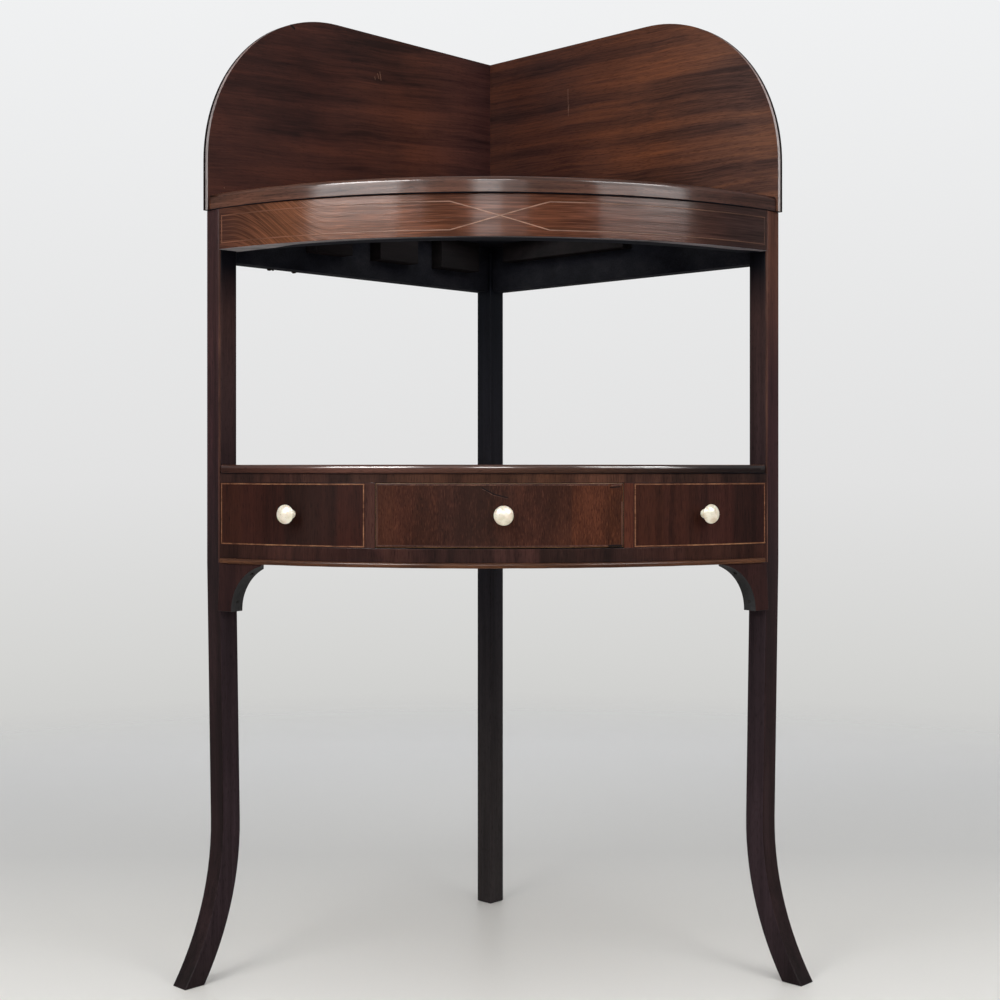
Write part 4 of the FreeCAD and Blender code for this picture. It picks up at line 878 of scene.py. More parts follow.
def loose_parts(form: BMesh) -> list[list[BMVert]]:
    """Parts a form into its loose bodies.

    Args:
        form: the form.

    Returns:
        The points of each body.
    """
    parts, seen = [], set()
    for first in form.verts:
        if first in seen:
            continue
        seen.add(first)
        part = [first]
        for vert in part:
            near = [edge.other_vert(vert) for edge in vert.link_edges]
            part += [other for other in near if other not in seen]
            seen.update(near)
        parts.append(part)
    return parts


def facing(normal: Vector, x: float, y: float, z: float = 0.0) -> float:
    """Tells how far a face looks in a direction, from -1 to 1."""
    return normal.dot(Vector((x, y, z)).normalized())


def is_slender(face: BMFace, width: float) -> bool:
    """Says whether a face is narrower than a width.

    Args:
        face: the face.
        width: the width in metres.

    Returns:
        True for a narrow face.
    """
    return 2 * face.calc_area() / face.calc_perimeter() < width


@dataclass
class Dresser:
    """Makes a worn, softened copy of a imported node; lengths in metres, angles in degrees."""
    merge: float = 0.01 * MM
    flat_angle: float = 0.6
    sharp_angle: float = 38
    shortest: float = 2.5 * MM
    narrowest: float = 1.6 * MM
    facets: int = 3

    def dress(self, node: str, finishes: list[Finish], choose: Chooser | None = None,
              arris: float = 0.6 * MM, body: Body = Body.STAND,
              arris_finish: int = -1, at_edge: Callable[[Vector], bool] | None = None,
              reshape: Callable[[BMesh], None] | None = None) -> Object:
        """Copies a node, softens its arrises and gives it its finishes.

        Args:
            node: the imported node.
            finishes: finishes of the piece.
            choose: picks a finish's number by a face's middle and normal.
            arris: width of the softened arrises.
            body: body that the piece moves with.
            arris_finish: number of the finish on the arrises, or -1 for the faces' own.
            at_edge: picks the arrises to soften by their middle; all of them without it.
            reshape: cuts or trims the copy before its finishes are chosen.

        Returns:
            The piece.
        """
        form = bmesh.new()
        form.from_mesh(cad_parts[node].data)
        bmesh.ops.remove_doubles(form, verts=form.verts, dist=self.merge)
        bmesh.ops.dissolve_limit(form, angle_limit=math.radians(self.flat_angle), verts=form.verts,
                                 edges=form.edges)
        if reshape:
            reshape(form)
        form.normal_update()
        for face in form.faces:
            face.material_index = choose(face.calc_center_median(), face.normal) if choose else 0
        weight = form.edges.layers.float.new("bevel_weight_edge")
        for edge in form.edges:
            edge[weight] = float(self._is_arris(edge, at_edge))
        piece = piece_from(form, f"{node}_dressed", finishes)
        self.soften(piece, arris, arris_finish)
        finish_piece(piece, body, (node,))
        return piece

    def soften(self, piece: Object, arris: float, arris_finish: int = -1) -> None:
        """Rounds a piece's weighted edges and keeps its broad faces flat to the eye.

        Args:
            piece: the piece.
            arris: width of the rounded arrises.
            arris_finish: number of the finish on them, or -1 for the faces' own.
        """
        bevel = piece.modifiers.new("arrises", "BEVEL")
        bevel.limit_method = "WEIGHT"
        bevel.width = arris
        bevel.segments = self.facets
        bevel.use_clamp_overlap = False
        bevel.material = arris_finish
        flat = piece.modifiers.new("flat faces", "WEIGHTED_NORMAL")
        flat.keep_sharp = True

    def _is_arris(self, edge: BMEdge, at_edge: Callable[[Vector], bool] | None) -> bool:
        """Says whether an edge is an outer arris worth softening.

        Args:
            edge: the edge.
            at_edge: picks edges by their middle.

        Returns:
            True for such an edge.
        """
        if len(edge.link_faces) != 2 or not edge.is_convex or edge.calc_length() < self.shortest:
            return False
        if edge.calc_face_angle(0) < math.radians(self.sharp_angle):
            return False
        if any(is_slender(face, self.narrowest) for face in edge.link_faces):
            return False
        middle = (edge.verts[0].co + edge.verts[1].co) / 2
        return at_edge(middle) if at_edge else True


DRESSER = Dresser()


@dataclass
class BowBoard:
    """Bowed board drawn as an even grid, so that its face mirrors light in one sweep; mm.

    Its lip is a pale strip under the front, given by its width at places along the front.
    """
    # Sides of the section, counted from its low front corner, that are the face and the lip
    FRONT, LIP = 0, 4

    name: str
    left: float
    right: float
    low: float
    high: float
    depth: float
    arris: float = 0.5
    square_ends: bool = False
    step: float = 4.0
    lip: Places = ()

    def _column(self, x: float) -> list[Vector]:
        """Corners of the board's section at x, front low first.

        Args:
            x: place along the front, in mm.

        Returns:
            The corners, going up in front and down behind, with one where a lip ends below.
        """
        front = BOW.point(x * MM, 0)
        if self.square_ends:
            inner = BOW.radius - self.depth * MM
            back = Vector((front.x, BOW.centre_y - math.sqrt(inner ** 2 - front.x ** 2), 0))
        else:
            back = BOW.point(x * MM, 0, -self.depth * MM)
        low, high = Vector((0, 0, self.low * MM)), Vector((0, 0, self.high * MM))
        corners = [front + low, front + high, back + high, back + low]
        if self.lip:
            width = np.interp(x, *zip(*self.lip))
            corners.append(BOW.point(x * MM, self.low * MM, -width * MM))
        return corners

    def build(self, finishes: list[Finish]) -> Object:
        """Draws the board.

        Args:
            finishes: finishes of its face, its other sides and, if it has a lip, the lip.

        Returns:
            The piece, without its body.
        """
        length = self.right - self.left
        count = max(3, int(length / self.step))
        form = bmesh.new()
        weight = form.edges.layers.float.new("bevel_weight_edge")
        columns = [[form.verts.new(corner)
                    for corner in self._column(self.left + length * index / count)]
                   for index in range(count + 1)]
        for before, after in zip(columns, columns[1:]):
            for side in range(len(before)):
                above = (side + 1) % len(before)
                face = form.faces.new((before[side], after[side], after[above], before[above]))
                face.material_index = {self.FRONT: 0, self.LIP: 2}.get(side, 1)
        for column, turned in ((columns[0], False), (columns[-1], True)):
            face = form.faces.new(list(reversed(column)) if turned else column)
            face.material_index = 1
        bmesh.ops.recalc_face_normals(form, faces=form.faces)
        fronts = {vert for column in columns for vert in column[:2]}
        sharp = math.radians(DRESSER.sharp_angle)
        for edge in form.edges:
            if fronts.issuperset(edge.verts) and edge.calc_face_angle(0) > sharp:
                edge[weight] = 1.0
        piece = piece_from(form, self.name, finishes)
        DRESSER.soften(piece, self.arris * MM)
        return piece


def start_tree(name: str, inputs: dict[str, str]) -> tuple[NodeTree, NodeOutputs]:
    """Starts a geometry tree.

    Args:
        name: name of the tree.
        inputs: kind of each named input after the geometry.

    Returns:
        The tree and what its inputs give.
    """
    tree = bpy.data.node_groups.new(name, "GeometryNodeTree")
    for label, kind in {"Geometry": "Geometry", **inputs}.items():
        tree.interface.new_socket(label, in_out="INPUT", socket_type=f"NodeSocket{kind}")
    tree.interface.new_socket("Geometry", in_out="OUTPUT", socket_type="NodeSocketGeometry")
    return tree, add_node(tree, "NodeGroupInput").outputs


def end_tree(tree: NodeTree, shape: NodeSocket, finish: NodeSocket) -> None:
    """Ends a geometry tree with plain geometry in its finish.

    Args:
        tree: the tree.
        shape: what it draws.
        finish: material that it gets.
    """
    real = add_node(tree, "GeometryNodeRealizeInstances", None, {"Geometry": shape})
    dressed = add_node(tree, "GeometryNodeSetMaterial", None,
                       {"Geometry": real.outputs[0], "Material": finish})
    add_node(tree, "NodeGroupOutput", None, {"Geometry": dressed.outputs[0]})


@dataclass
class SweepTree:
    """Tree that draws a rounded bar along paths: lines let into the wood, beads and cracks."""
    name: str = "bar along a path"
    step: float = 4 * MM
    wavers_per_m: float = 30.0
    corner_points: int = 3
    tree: NodeTree | None = None

    def build(self) -> None:
        """Builds the tree, with inputs for the bar's sizes, its waver, its seed and its finish."""
        tree, given = start_tree(self.name, {
            "Width": "Float", "Depth": "Float", "Rounding": "Float", "Waver": "Float",
            "Seed": "Float", "Finish": "Material"})
        paths = add_node(tree, "GeometryNodeMeshToCurve", None, {"Mesh": given["Geometry"]})
        even = add_node(tree, "GeometryNodeResampleCurve", {"mode": "LENGTH"},
                        {"Curve": paths.outputs[0], "Length": self.step})
        outward = add_node(tree, "GeometryNodeInputNamedAttribute", {"data_type": "FLOAT_VECTOR"},
                           {"Name": "outward"})
        place = add_node(tree, "GeometryNodeInputPosition")
        drift = add_node(tree, "ShaderNodeTexNoise", {"noise_dimensions": "4D"}, {
            "Vector": place.outputs[0], "W": given["Seed"], "Scale": self.wavers_per_m,
            "Detail": 2.0})
        centred = add_node(tree, "ShaderNodeVectorMath", {"operation": "SUBTRACT"},
                           {0: drift.outputs["Color"], 1: (0.5, 0.5, 0.5)})
        flat = add_node(tree, "ShaderNodeVectorMath", {"operation": "CROSS_PRODUCT"},
                        {0: centred.outputs[0], 1: outward.outputs[0]})
        shift = add_node(tree, "ShaderNodeVectorMath", {"operation": "SCALE"},
                         {0: flat.outputs[0], "Scale": given["Waver"]})
        moved = add_node(tree, "GeometryNodeSetPosition", None,
                         {"Geometry": even.outputs[0], "Offset": shift.outputs[0]})
        turned = add_node(tree, "GeometryNodeSetCurveNormal", {"mode": "FREE"},
                          {"Curve": moved.outputs[0], "Normal": outward.outputs[0]})
        section = add_node(tree, "GeometryNodeCurvePrimitiveQuadrilateral", {"mode": "RECTANGLE"},
                           {"Width": given["Depth"], "Height": given["Width"]})
        rounded = add_node(tree, "GeometryNodeFilletCurve", {"mode": "POLY"},
                           {"Curve": section.outputs[0], "Radius": given["Rounding"],
                            "Count": self.corner_points, "Limit Radius": True})
        bar = add_node(tree, "GeometryNodeCurveToMesh", None, {
            "Curve": turned.outputs[0], "Profile Curve": rounded.outputs[0], "Fill Caps": True})
        end_tree(tree, bar.outputs[0], given["Finish"])
        self.tree = tree


SWEEP = SweepTree()


def run_tree(name: str, seed_mesh: Mesh, tree: NodeTree, settings: dict[str, object]) -> Mesh:
    """Runs a geometry tree on a mesh and keeps the plain result.

    Args:
        name: name of the resulting mesh.
        seed_mesh: mesh that the tree starts from.
        tree: the tree.
        settings: value of each named input.

    Returns:
        The plain mesh.
    """
    carrier = bpy.data.objects.new(f"{name}_carrier", seed_mesh)
    bpy.context.scene.collection.objects.link(carrier)
    modifier = carrier.modifiers.new("tree", "NODES")
    modifier.node_group = tree
    identifiers = {item.name: item.identifier for item in tree.interface.items_tree
                   if item.in_out == "INPUT"}
    for label, setting in settings.items():
        modifier[identifiers[label]] = setting
    evaluated = carrier.evaluated_get(bpy.context.evaluated_depsgraph_get())
    mesh = bpy.data.meshes.new_from_object(evaluated)
    mesh.name = name
    carrier.modifiers.remove(modifier)
    bpy.data.objects.remove(carrier)
    return mesh


@dataclass
class Line:
    """One straight run of a line on a face; x and z in mm."""
    start: tuple[float, float]
    finish: tuple[float, float]


@dataclass
class FaceLines:
    """Lines that follow a face, as bars sunk into it; lengths in mm."""
    name: str
    lines: list[Line]
    finish: Finish
    face: Bow | BoardFace = BOW
    width: float = 1.4
    depth: float = 1.2
    proud: float = 0.05
    rounding: float = 0.15
    waver: float = 0.5
    seed: float = 0.0
    spacing: float = 5.0

    def path_mesh(self) -> Mesh:
        """Lays the lines' paths out as edges.

        Returns:
            A mesh of edges that knows which way the face looks.
        """
        points, edges, faces_out = [], [], []
        level = (self.proud - self.depth / 2) * MM
        for line in self.lines:
            (x0, z0), (x1, z1) = line.start, line.finish
            count = max(2, int(math.hypot(x1 - x0, z1 - z0) / self.spacing) + 1)
            first = len(points)
            for index in range(count):
                share = index / (count - 1)
                x = (x0 + (x1 - x0) * share) * MM
                z = (z0 + (z1 - z0) * share) * MM
                points.append(self.face.point(x, z, level))
                faces_out.append(self.face.outward(x))
            edges += [(first + i, first + i + 1) for i in range(count - 1)]
        mesh = bpy.data.meshes.new(f"{self.name}_paths")
        mesh.from_pydata(points, edges, [])
        outward = mesh.attributes.new("outward", "FLOAT_VECTOR", "POINT")
        for item, direction in zip(outward.data, faces_out):
            item.vector = direction
        return mesh

    def build(self) -> Object:
        """Draws the lines.

        Returns:
            The piece, without its body.
        """
        mesh = run_tree(self.name, self.path_mesh(), SWEEP.tree, {
            "Width": self.width * MM, "Depth": self.depth * MM, "Rounding": self.rounding * MM,
            "Waver": self.waver * MM, "Seed": self.seed, "Finish": self.finish.material()})
        smooth(mesh)
        return new_piece(self.name, mesh, [self.finish])


def chain(places: Places) -> list[Line]:
    """Straight runs of a line from place to place."""
    return [Line(start, finish) for start, finish in zip(places, places[1:])]


def ring_lines(left: float, right: float, low: float, high: float,
               width: float = 1.4) -> list[Line]:
    """Four runs of a line round a front; the level runs go right through.

    Args:
        left: outer edge on the left, in mm.
        right: outer edge on the right.
        low: lower outer edge.
        high: upper outer edge.
        width: width of the line.

    Returns:
        The runs along their middles.
    """
    half = width / 2
    return [Line((left, low + half), (right, low + half)),
            Line((left, high - half), (right, high - half)),
            Line((left + half, low + width), (left + half, high - width)),
            Line((right - half, low + width), (right - half, high - width))]


@dataclass
class Studio:
    """Camera at the photograph's place, plain floor, pale surroundings and soft lamps.

    Lengths are in metres, apart from the lens's and its sensor's, which are in mm.
    The floor's tones, painted shade that darkens behind the stand and lightens far back, run from
    front to back over its span; the backdrop's, painted shade that greys downwards, go up over the
    slopes of its span.
    """
    camera_place: tuple[float, float, float] = (-0.025, -1.74485, 0.5312)
    camera_turn: float = -0.0190
    focal_length: float = 56.99
    sensor_width: float = 36.0
    shift_down: float = 0.032
    floor_radius: float = 2.3
    floor_fade: tuple[float, float] = (1.15, 2.05)
    floor_span: tuple[float, float] = (-0.3, 1.3)
    # Painted shade: the floor darkens behind the stand and lightens again far back
    floor_tones: tuple[tuple[float, str], ...] = (
        (0.0, "#f4f2ed"), (0.24, "#dfddd8"), (0.46, "#d4d3d0"), (1.0, "#ebebea"))
    backdrop_span: tuple[float, float] = (-0.18, 0.3)
    # Painted shade: the backdrop greys downwards towards the floor
    backdrop_tones: tuple[tuple[float, str], ...] = (
        (0.0, "#cacac8"), (0.135, "#d5d5d3"), (0.36, "#e2e2e2"), (1.0, "#f1f2f3"))
    ambient: float = 0.48
    target: tuple[float, float, float] = (0, -0.05, 0.75)
    lamp_height: float = 1.32
    sheen_height: float = 1.36
    strip_height: float = 2.15

    def build(self) -> None:
        """Builds the studio."""
        bpy.context.scene.view_settings.view_transform = "Standard"
        self._camera()
        self._world()
        self._floor()
        self._lamps()

    def _camera(self) -> None:
        """Sets the camera level, where the photograph was taken."""
        lens = bpy.data.cameras.new("camera")
        lens.lens = self.focal_length
        lens.sensor_width = self.sensor_width
        lens.shift_y = -self.shift_down
        lens.clip_start = 0.05
        camera = bpy.data.objects.new("camera", lens)
        camera.location = self.camera_place
        camera.rotation_euler = (math.pi / 2, 0.0, self.camera_turn)
        bpy.context.scene.collection.objects.link(camera)
        bpy.context.scene.camera = camera

    def _world(self) -> None:
        """Gives even light, and to what the camera and reflections see a pale backdrop with painted
        shade that greys downwards.
        """
        world = bpy.data.worlds.new("studio")
        bpy.context.scene.world = world
        world.use_nodes = True
        tree = world.node_tree
        tree.nodes.clear()
        direction = add_node(tree, "ShaderNodeTexCoord").outputs["Generated"]
        parts = add_node(tree, "ShaderNodeSeparateXYZ", None, {0: direction})
        low, high = self.backdrop_span
        height = add_node(tree, "ShaderNodeMapRange", None,
                          {"Value": parts.outputs[2], "From Min": low, "From Max": high})
        ramp = add_node(tree, "ShaderNodeValToRGB", None, {"Fac": height.outputs[0]})
        set_ramp(ramp, self.backdrop_tones)
        backdrop = add_node(tree, "ShaderNodeBackground", None,
                            {"Color": ramp.outputs[0], "Strength": 1.0})
        ambient = add_node(tree, "ShaderNodeBackground", None,
                           {"Color": (0.97, 0.98, 1.0, 1), "Strength": self.ambient})
        rays = add_node(tree, "ShaderNodeLightPath").outputs
        seen = add_node(tree, "ShaderNodeMath", {"operation": "ADD"},
                        {0: rays["Is Camera Ray"], 1: rays["Is Glossy Ray"]})
        shown = add_node(tree, "ShaderNodeMath", {"operation": "ADD", "use_clamp": True},
                         {0: seen.outputs[0], 1: rays["Is Transmission Ray"]})
        mixed = add_node(tree, "ShaderNodeMixShader", None,
                         {0: shown.outputs[0], 1: ambient.outputs[0], 2: backdrop.outputs[0]})
        add_node(tree, "ShaderNodeOutputWorld", None, {"Surface": mixed.outputs[0]})

    def _floor(self) -> None:
        """Lays a pale floor, with painted shade behind the stand, that fades into the backdrop."""
        mesh = bpy.data.meshes.new("floor")
        form = bmesh.new()
        bmesh.ops.create_circle(form, cap_ends=True, segments=96, radius=self.floor_radius)
        form.to_mesh(mesh)
        form.free()
        material, tree = new_material("painted floor, matt")
        place = add_node(tree, "ShaderNodeTexCoord").outputs["Object"]
        reach = add_node(tree, "ShaderNodeVectorMath", {"operation": "LENGTH"}, {0: place})
        start, end = self.floor_fade
        fade = add_node(tree, "ShaderNodeMapRange", {"interpolation_type": "SMOOTHSTEP"},
                        {"Value": reach.outputs["Value"], "From Min": start, "From Max": end})
        depth = add_node(tree, "ShaderNodeSeparateXYZ", None, {0: place}).outputs[1]
        front, back = self.floor_span
        shade = add_node(tree, "ShaderNodeMapRange", None,
                         {"Value": depth, "From Min": front, "From Max": back})
        ramp = add_node(tree, "ShaderNodeValToRGB", None, {"Fac": shade.outputs[0]})
        set_ramp(ramp, self.floor_tones)
        paint = add_node(tree, "ShaderNodeBsdfPrincipled", None, {
            "Base Color": ramp.outputs[0], "Roughness": 0.45, "Specular IOR Level": 0.3})
        clear = add_node(tree, "ShaderNodeBsdfTransparent")
        mixed = add_node(tree, "ShaderNodeMixShader", None,
                         {0: fade.outputs[0], 1: paint.outputs[0], 2: clear.outputs[0]})
        add_node(tree, "ShaderNodeOutputMaterial", None, {"Surface": mixed.outputs[0]})
        mesh.materials.append(material)
        floor = bpy.data.objects.new("floor", mesh)
        bpy.context.scene.collection.objects.link(floor)

    def _lamps(self) -> None:
        """Hangs two soft boxes beside the camera, a small one near it and a wide one overhead.

        The other lamps are for the sheen on polished wood only: they soften the edges of the boxes'
        reflections and light the rounded arrises.
        """
        low, sheen, strip = self.lamp_height, self.sheen_height, self.strip_height
        self._soft_box("soft_box_left", 40, 2.0, low, (0.95, 0.62), 7.6)
        self._soft_box("soft_box_right", -43.5, 2.0, low, (0.96, 0.62), 6.0)
        self._soft_box("soft_box_middle", 1.5, 2.5, low, (0.38, 0.5), 6.5)
        self._soft_box("soft_box_above", 0, 0.6, 3.2, (2.4, 2.4), 1.1, target=(0, 0, 0.5))
        for name, azimuth, distance, height, size, radiance in (
                ("sheen_left", 39, 2.0, sheen, (0.92, 0.58), 13.0),
                ("sheen_left_wide", 36.6, 2.0, sheen, (1.3, 0.58), 8.0),
                ("sheen_middle", 1.3, 2.5, sheen, (0.3, 0.5), 9.0),
                ("sheen_middle_wide", -2.0, 2.5, sheen, (0.7, 0.5), 6.0),
                ("sheen_right", -43.7, 2.0, sheen, (0.98, 0.58), 8.0),
                ("sheen_right_end", -50.5, 2.0, sheen, (0.62, 0.58), 6.0),
                ("strip_left", 40, 2.0, strip, (1.0, 0.7), 105.0),
                ("strip_right", -44.5, 2.0, strip, (1.0, 0.7), 62.0),
                ("strip_middle", 0, 2.5, strip, (0.55, 0.7), 52.0)):
            self._soft_box(name, azimuth, distance, height, size, radiance, sheen_only=True)

    def _soft_box(self, name: str, azimuth: float, distance: float, height: float,
                  size: tuple[float, float], radiance: float, sheen_only: bool = False,
                  target: tuple[float, float, float] | None = None) -> None:
        """Hangs one rectangular lamp.

        Args:
            name: name of the lamp.
            azimuth: degrees to the left of the view from the front.
            distance: distance from the object in plan.
            height: height of the lamp's middle.
            size: width and height.
            radiance: brightness of its face.
            sheen_only: leaves the lamp out of the plain light and keeps it in reflections.
            target: point that it faces, or None for the studio's own.
        """
        lamp = bpy.data.lights.new(name, "AREA")
        lamp.shape = "RECTANGLE"
        lamp.size, lamp.size_y = size
        lamp.energy = radiance * math.pi * size[0] * size[1]
        item = bpy.data.objects.new(name, lamp)
        angle = math.radians(azimuth)
        item.location = (-distance * math.sin(angle), -distance * math.cos(angle), height)
        ahead = Vector(target or self.target) - item.location
        item.rotation_euler = ahead.to_track_quat("-Z", "Y").to_euler()
        item.visible_camera = False
        item.visible_diffuse = not sheen_only
        bpy.context.scene.collection.objects.link(item)


@dataclass
class Splashback:
    """Two boards above the top, nailed to its edges; lengths in mm."""
    arris: float = 1.2
    nail_width: float = 2.6
    nail_height: float = 1.6
    nail_length: float = 30.0
    shares: tuple[float, ...] = (0.12, 0.37, 0.63, 0.88)
    side_length: float = 424.26
    sunk_level: float = -0.1
    nail_z: float = 808.0
    corner_share: float = 0.7
    # Width of the edges' outer strip in painted shade, in mm
    dark_strip: float = 4.5
    proud: float = 0.5
    ear_low: float = 802.0
    ear_from: float = 80.0
    tolerance: float = 0.5

    def build(self) -> None:
        """Dresses the boards, drives the nails and adds the marks of use."""
        for (side, sign), front in zip(SIDES.items(), (SPLASH_LEFT, SPLASH_RIGHT)):
            DRESSER.dress(
                f"splashback_{side}", [front, DRY_SIDES[sign], EDGE_HIGHLIGHT_PAINTED, RIM_SHADE_PAINTED],
                lambda middle, normal, sign=sign: self._face_finish(middle, normal, sign),
                arris=self.arris * MM, arris_finish=3,
                at_edge=lambda middle, sign=sign: self._is_outer(middle, sign),
                reshape=lambda form, sign=sign: self._split_edge(form, sign))
        self._nails()
        self._marks()

    def _inward(self, sign: int) -> Vector:
        """Direction from the board's outer face to its inner one."""
        return Vector((sign * SLANT, -SLANT, 0))

    def _corner(self, sign: int) -> Vector:
        """Outer corner of the front leg under the board, in metres."""
        return Vector((-sign * CORNER_X, CORNER_Y, 0)) * MM

    def _across(self, place: Vector) -> float:
        """Distance of a place from the line through the legs' outer corners, in mm."""
        return (CORNER_X - abs(place.x) / MM - (place.y / MM - CORNER_Y)) * SLANT

    def _split_edge(self, form: BMesh, sign: int) -> None:
        """Parts the board's edges where the outer strip of painted shade meets the inner part with
        its painted highlight.

        Args:
            form: the board.
            sign: 1 for the left board, -1 for the right one.
        """
        place = self._corner(sign) + self._inward(sign) * (self.dark_strip - self.proud) * MM
        parts = [*form.verts, *form.edges, *form.faces]
        bmesh.ops.bisect_plane(form, geom=parts, plane_co=place, plane_no=self._inward(sign))

    def _face_finish(self, middle: Vector, normal: Vector, sign: int) -> int:
        """Polished inside, dry outside and behind; painted highlight on the inner part of the
        edges, painted shade on their outer part.

        Args:
            middle: middle of the face.
            normal: direction that the face looks in.
            sign: 1 for the left board, -1 for the right one.

        Returns:
            Number of the finish.
        """
        if facing(normal, sign, -1) > 0.9:
            return 0
        if normal.y > 0.5:
            return 1
        depth = (middle - self._corner(sign)).dot(self._inward(sign)) / MM
        # Finish 2 carries the painted highlight, finish 3 the painted shade
        return 2 if normal.z > -0.5 and depth > self.dark_strip - self.proud else 3

    def _is_outer(self, middle: Vector, sign: int) -> bool:
        """Picks the arris of the ear on the outer face, which gets the painted shade.

        Args:
            middle: middle of the edge.
            sign: 1 for the left board, -1 for the right one.

        Returns:
            True for that arris.
        """
        on_ear = middle.z > self.ear_low * MM and sign * middle.x < -self.ear_from * MM
        return on_ear and self._across(middle) < self.tolerance

    def _marks(self) -> None:
        """Adds scratches, a dent and a fleck of old paint on the boards' faces."""
        left = [Line((-131.0, 984.0), (-129.6, 978.0)), Line((-128.6, 986.5), (-127.2, 976.5)),
                Line((-134.0, 979.5), (-133.4, 976.0))]
        right = [Line((90.0, 977.0), (90.6, 944.5)), Line((91.2, 958.0), (91.0, 950.0))]
        for name, sign, lines, finish, width in (
                ("scratches_left", 1, left, SCRATCH, 0.6),
                ("scratches_right", -1, right, SCRATCH, 0.45),
                ("dent_left", 1, [Line((-220.5, 1013.5), (-216.0, 1010.5))], CRACK, 2.6),
                ("fleck_left", 1, [Line((-283.0, 825.4), (-282.2, 825.0))], SCRATCH, 0.9)):
            piece = FaceLines(name, lines, finish, BoardFace(sign), width=width, depth=0.3,
                              proud=0.05, rounding=0.1, waver=1.5, seed=9.0, spacing=1.0).build()
            finish_piece(piece, Body.STAND)

    def _nails(self) -> None:
        """Drives the cut nails through the boards into the top."""
        points, turns = [], []
        middle = self.sunk_level + self.nail_length / 2
        for sign in SIDES.values():
            for share in self.shares:
                along = self.side_length * share
                x = (-CORNER_X + SLANT * (along + middle)) * sign
                y = CORNER_Y + SLANT * (along - middle)
                points.append(Vector((x, y, self.nail_z)) * MM)
                turns.append((math.pi / 2, 0.0, sign * math.pi / 4))
        mesh = NAILS.drive(
            "splash_nails_cut", points, turns, sides=4, radius=self.nail_width * self.corner_share,
            length=self.nail_length, flatness=self.nail_height / self.nail_width)
        piece = new_piece("splash_nails_cut", mesh, [IRON])
        finish_piece(piece, Body.STAND, ("splash_nails",))


@dataclass
class NailTree:
    """Tree that sets a nail on each point and turns it its own way."""
    name: str = "nails on points"
    rings: int = 6
    tree: NodeTree | None = None

    def build(self) -> None:
        """Builds the tree, with inputs for the nail's sides, its sizes and its finish."""
        tree, given = start_tree(self.name, {
            "Sides": "Int", "Radius": "Float", "Length": "Float", "Flatness": "Float",
            "Finish": "Material"})
        shank = add_node(tree, "GeometryNodeMeshCylinder", None, {
            "Vertices": given["Sides"], "Side Segments": self.rings, "Radius": given["Radius"],
            "Depth": given["Length"]})
        corner = add_node(tree, "FunctionNodeEulerToRotation", None, {0: (0.0, 0.0, math.pi / 4)})
        flat = add_node(tree, "ShaderNodeCombineXYZ", None, {0: 1.0, 1: given["Flatness"], 2: 1.0})
        squared = add_node(tree, "GeometryNodeTransform", None,
                           {"Geometry": shank.outputs[0], "Rotation": corner.outputs[0]})
        flattened = add_node(tree, "GeometryNodeTransform", None,
                             {"Geometry": squared.outputs[0], "Scale": flat.outputs[0]})
        turn = add_node(tree, "GeometryNodeInputNamedAttribute", {"data_type": "FLOAT_VECTOR"},
                        {"Name": "turn"})
        turned = add_node(tree, "FunctionNodeEulerToRotation", None, {0: turn.outputs[0]})
        points = add_node(tree, "GeometryNodeMeshToPoints", None, {"Mesh": given["Geometry"]})
        placed = add_node(tree, "GeometryNodeInstanceOnPoints", None, {
            "Points": points.outputs[0], "Instance": flattened.outputs[0],
            "Rotation": turned.outputs[0]})
        end_tree(tree, placed.outputs[0], given["Finish"])
        self.tree = tree

    def drive(self, name: str, points: list[Vector], turns: list[tuple[float, float, float]],
              sides: int, radius: float, length: float, flatness: float) -> Mesh:
        """Sets nails on points.

        Args:
            name: name of the mesh.
            points: middles of the nails, in metres.
            turns: turn of each nail about X, Y and Z, in radians.
            sides: sides of the shank.
            radius: radius of the shank in mm, to its corners.
            length: length of the nail in mm.
            flatness: thickness of the shank as a share of its width.

        Returns:
            The nails as one plain mesh.
        """
        mesh = bpy.data.meshes.new(f"{name}_points")
        mesh.from_pydata(points, [], [])
        turn = mesh.attributes.new("turn", "FLOAT_VECTOR", "POINT")
        for item, angles in zip(turn.data, turns):
            item.vector = angles
        return run_tree(name, mesh, self.tree, {
            "Sides": sides, "Radius": radius * MM, "Length": length * MM, "Flatness": flatness,
            "Finish": IRON.material()})


NAILS = NailTree()


@dataclass
class TopBoard:
    """Bowed top with its basin hole and cup holes; lengths in metres."""
    arris: float = 0.5 * MM

    def build(self) -> None:
        """Dresses the top."""
        DRESSER.dress("top_board", [TOP_FACE, TOP_EDGE, INSIDE_SHADE_PAINTED], self._face_finish,
                      arris=self.arris)

    def _face_finish(self, middle: Vector, normal: Vector) -> int:
        """Polished face and edge, underside in painted shade."""
        return 2 if normal.z < -0.5 else 0 if normal.z > 0.94 else 1


def dress_side_board(node: str, sign: int) -> None:
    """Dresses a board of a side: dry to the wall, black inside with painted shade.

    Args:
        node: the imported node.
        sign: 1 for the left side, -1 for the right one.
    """
    DRESSER.dress(node, [DRY_SIDES[sign], INSIDE_SHADE_PAINTED],
                  lambda middle, normal: 0 if facing(normal, -sign, 1) > MOSTLY else 1)


